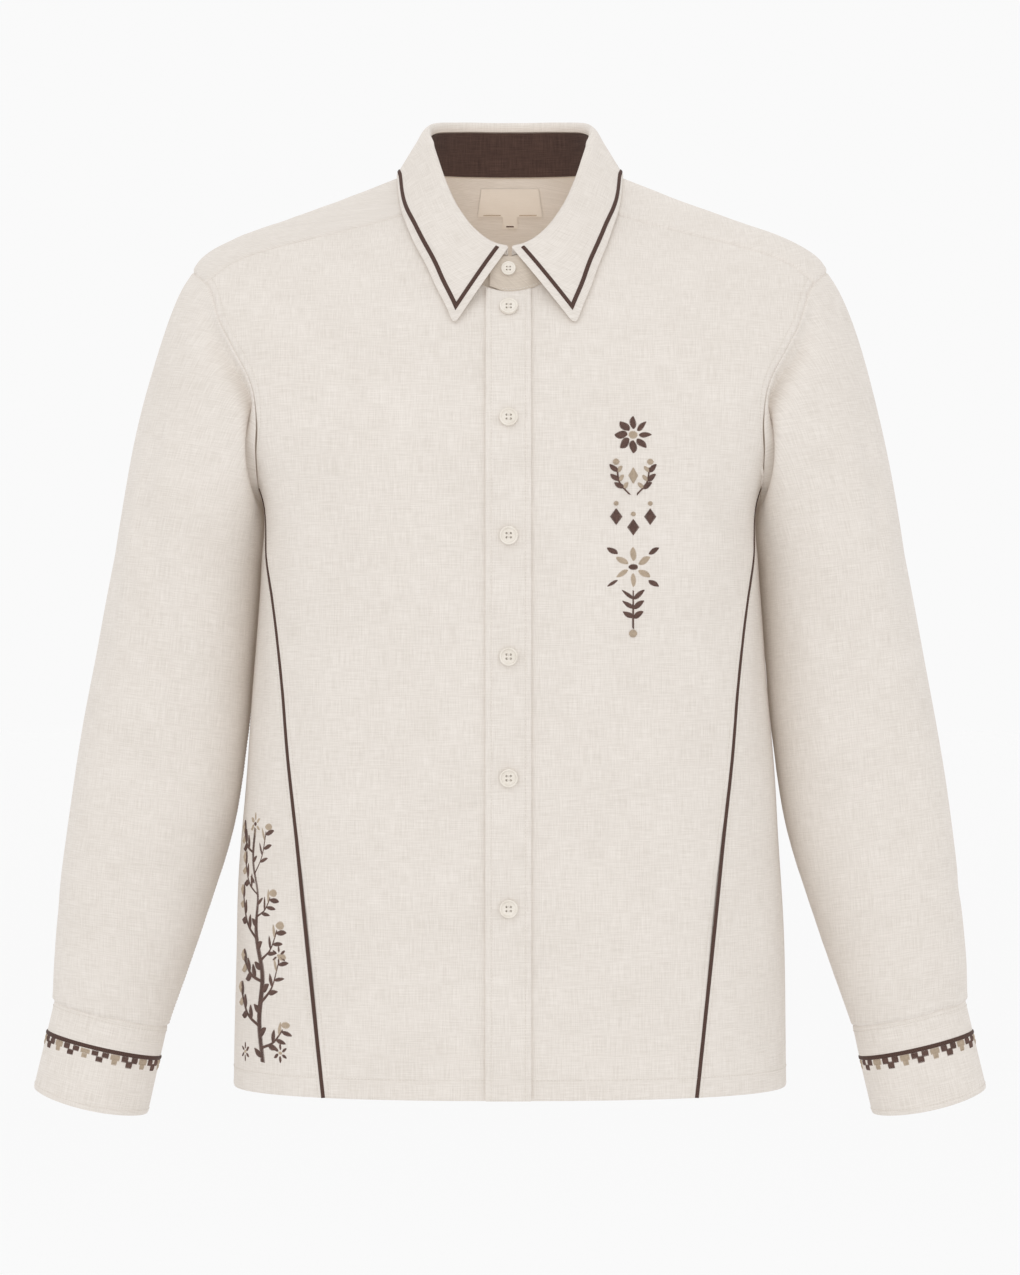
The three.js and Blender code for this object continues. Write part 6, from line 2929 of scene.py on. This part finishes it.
@dataclass
class Studio:
    """The camera, the lamps and the pale stage."""

    distance: float = 3.55
    eye_height: float = -0.358
    lens: float = 128.3
    floor_height: float = -1.25
    floor_radius: float = 40.0
    world: float = 0.955
    lamps: tuple[Softbox, ...] = (
        Softbox("key", (-1.7, -2.5, 2.3), (0.0, 0.0, -0.35), 2.0, 12.0),
        Softbox("fill", (2.3, -2.7, 0.5), (0.0, 0.0, -0.35), 2.4, 5.0),
        Softbox("front", (0.0, -3.3, -0.2), (0.0, 0.0, -0.35), 1.2, 8.0),
        Softbox("back", (0.0, 1.6, 2.4), (0.0, 0.0, -0.35), 1.6, 8.0),
        Softbox("neck", (0.0, -0.02, -0.05), (0.0, 0.08, -0.03), 0.07, 0.04, (1.0, 0.83, 0.66)),
    )

    def camera(self) -> None:
        """Adds the camera, level and in front of the shirt."""
        bpy.ops.object.camera_add(location=(0, -self.distance, self.eye_height), rotation=(math.pi / 2, 0, 0))
        camera = bpy.context.object
        camera.data.lens = self.lens
        camera.data.sensor_width = 36
        bpy.context.scene.camera = camera

    def light(self) -> None:
        """Adds the lamps and the light all round."""
        for lamp in self.lamps:
            bpy.ops.object.light_add(type="AREA", location=lamp.place)
            light = bpy.context.object
            light.name = lamp.name
            light.data.size = lamp.size
            light.data.energy = lamp.power
            light.data.color = lamp.colour
            light.visible_camera = False
            aim = np.array(lamp.aim) - np.array(lamp.place)
            yaw, pitch = math.atan2(aim[0], -aim[1]), math.atan2(-aim[2], math.hypot(aim[0], aim[1]))
            light.rotation_euler = (math.pi / 2 - pitch, 0, math.pi + yaw)
        world = bpy.data.worlds.new("studio_air")
        bpy.context.scene.world = world
        world.use_nodes = True
        background = next(n for n in world.node_tree.nodes if n.type == "BACKGROUND")
        background.inputs["Color"].default_value = (1, 1, 1, 1)
        background.inputs["Strength"].default_value = self.world

    def stage(self) -> None:
        """Adds a wide pale floor."""
        select_none()
        place = (0, 0, self.floor_height)
        bpy.ops.mesh.primitive_circle_add(vertices=96, radius=self.floor_radius, fill_type="TRIFAN", location=place)
        floor = bpy.context.object
        floor.name = "studio_floor"
        bpy.ops.object.transform_apply(location=True, rotation=False, scale=False)
        floor.data.materials.append(Backdrop("pale_floor", (0.25, 0.25, 0.25), 0.69).material())
        floor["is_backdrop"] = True

    def build(self) -> None:
        """Sets up the studio."""
        self.camera()
        self.light()
        self.stage()
        bpy.context.scene.view_settings.view_transform = "Standard"


def corners() -> list[list[float]]:
    """The lowest and highest corner of what is shown, as plain numbers."""
    return [list(map(float, corner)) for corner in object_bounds()]


def main() -> None:
    """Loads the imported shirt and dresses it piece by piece."""
    logging.basicConfig(level=logging.INFO, format="%(message)s")
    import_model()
    Studio().build()
    room = Workroom(Finishes(), Stamp.thread(5, 2), Stitching(Stamp.thread(6, 2)))
    body = BodySurface()
    sleeve, stand, fall = SleeveSurface(body), StandSurface(body, 1.8), FallSurface(body)
    cuff = CuffSurface(sleeve)
    panels = BodyPanels(room, body)
    panels.build()
    Sleeves(room, sleeve, cuff).build()
    Collar(room, body, stand, fall).build()
    Trim(room, panels, fall, cuff).build()
    Embroidery(room, body, cuff).build()
    Buttons(room, body, stand, cuff).build()
    room.stitching.make("machine_stitches", room.finishes.sewing)


if __name__ == "__main__":
    main()
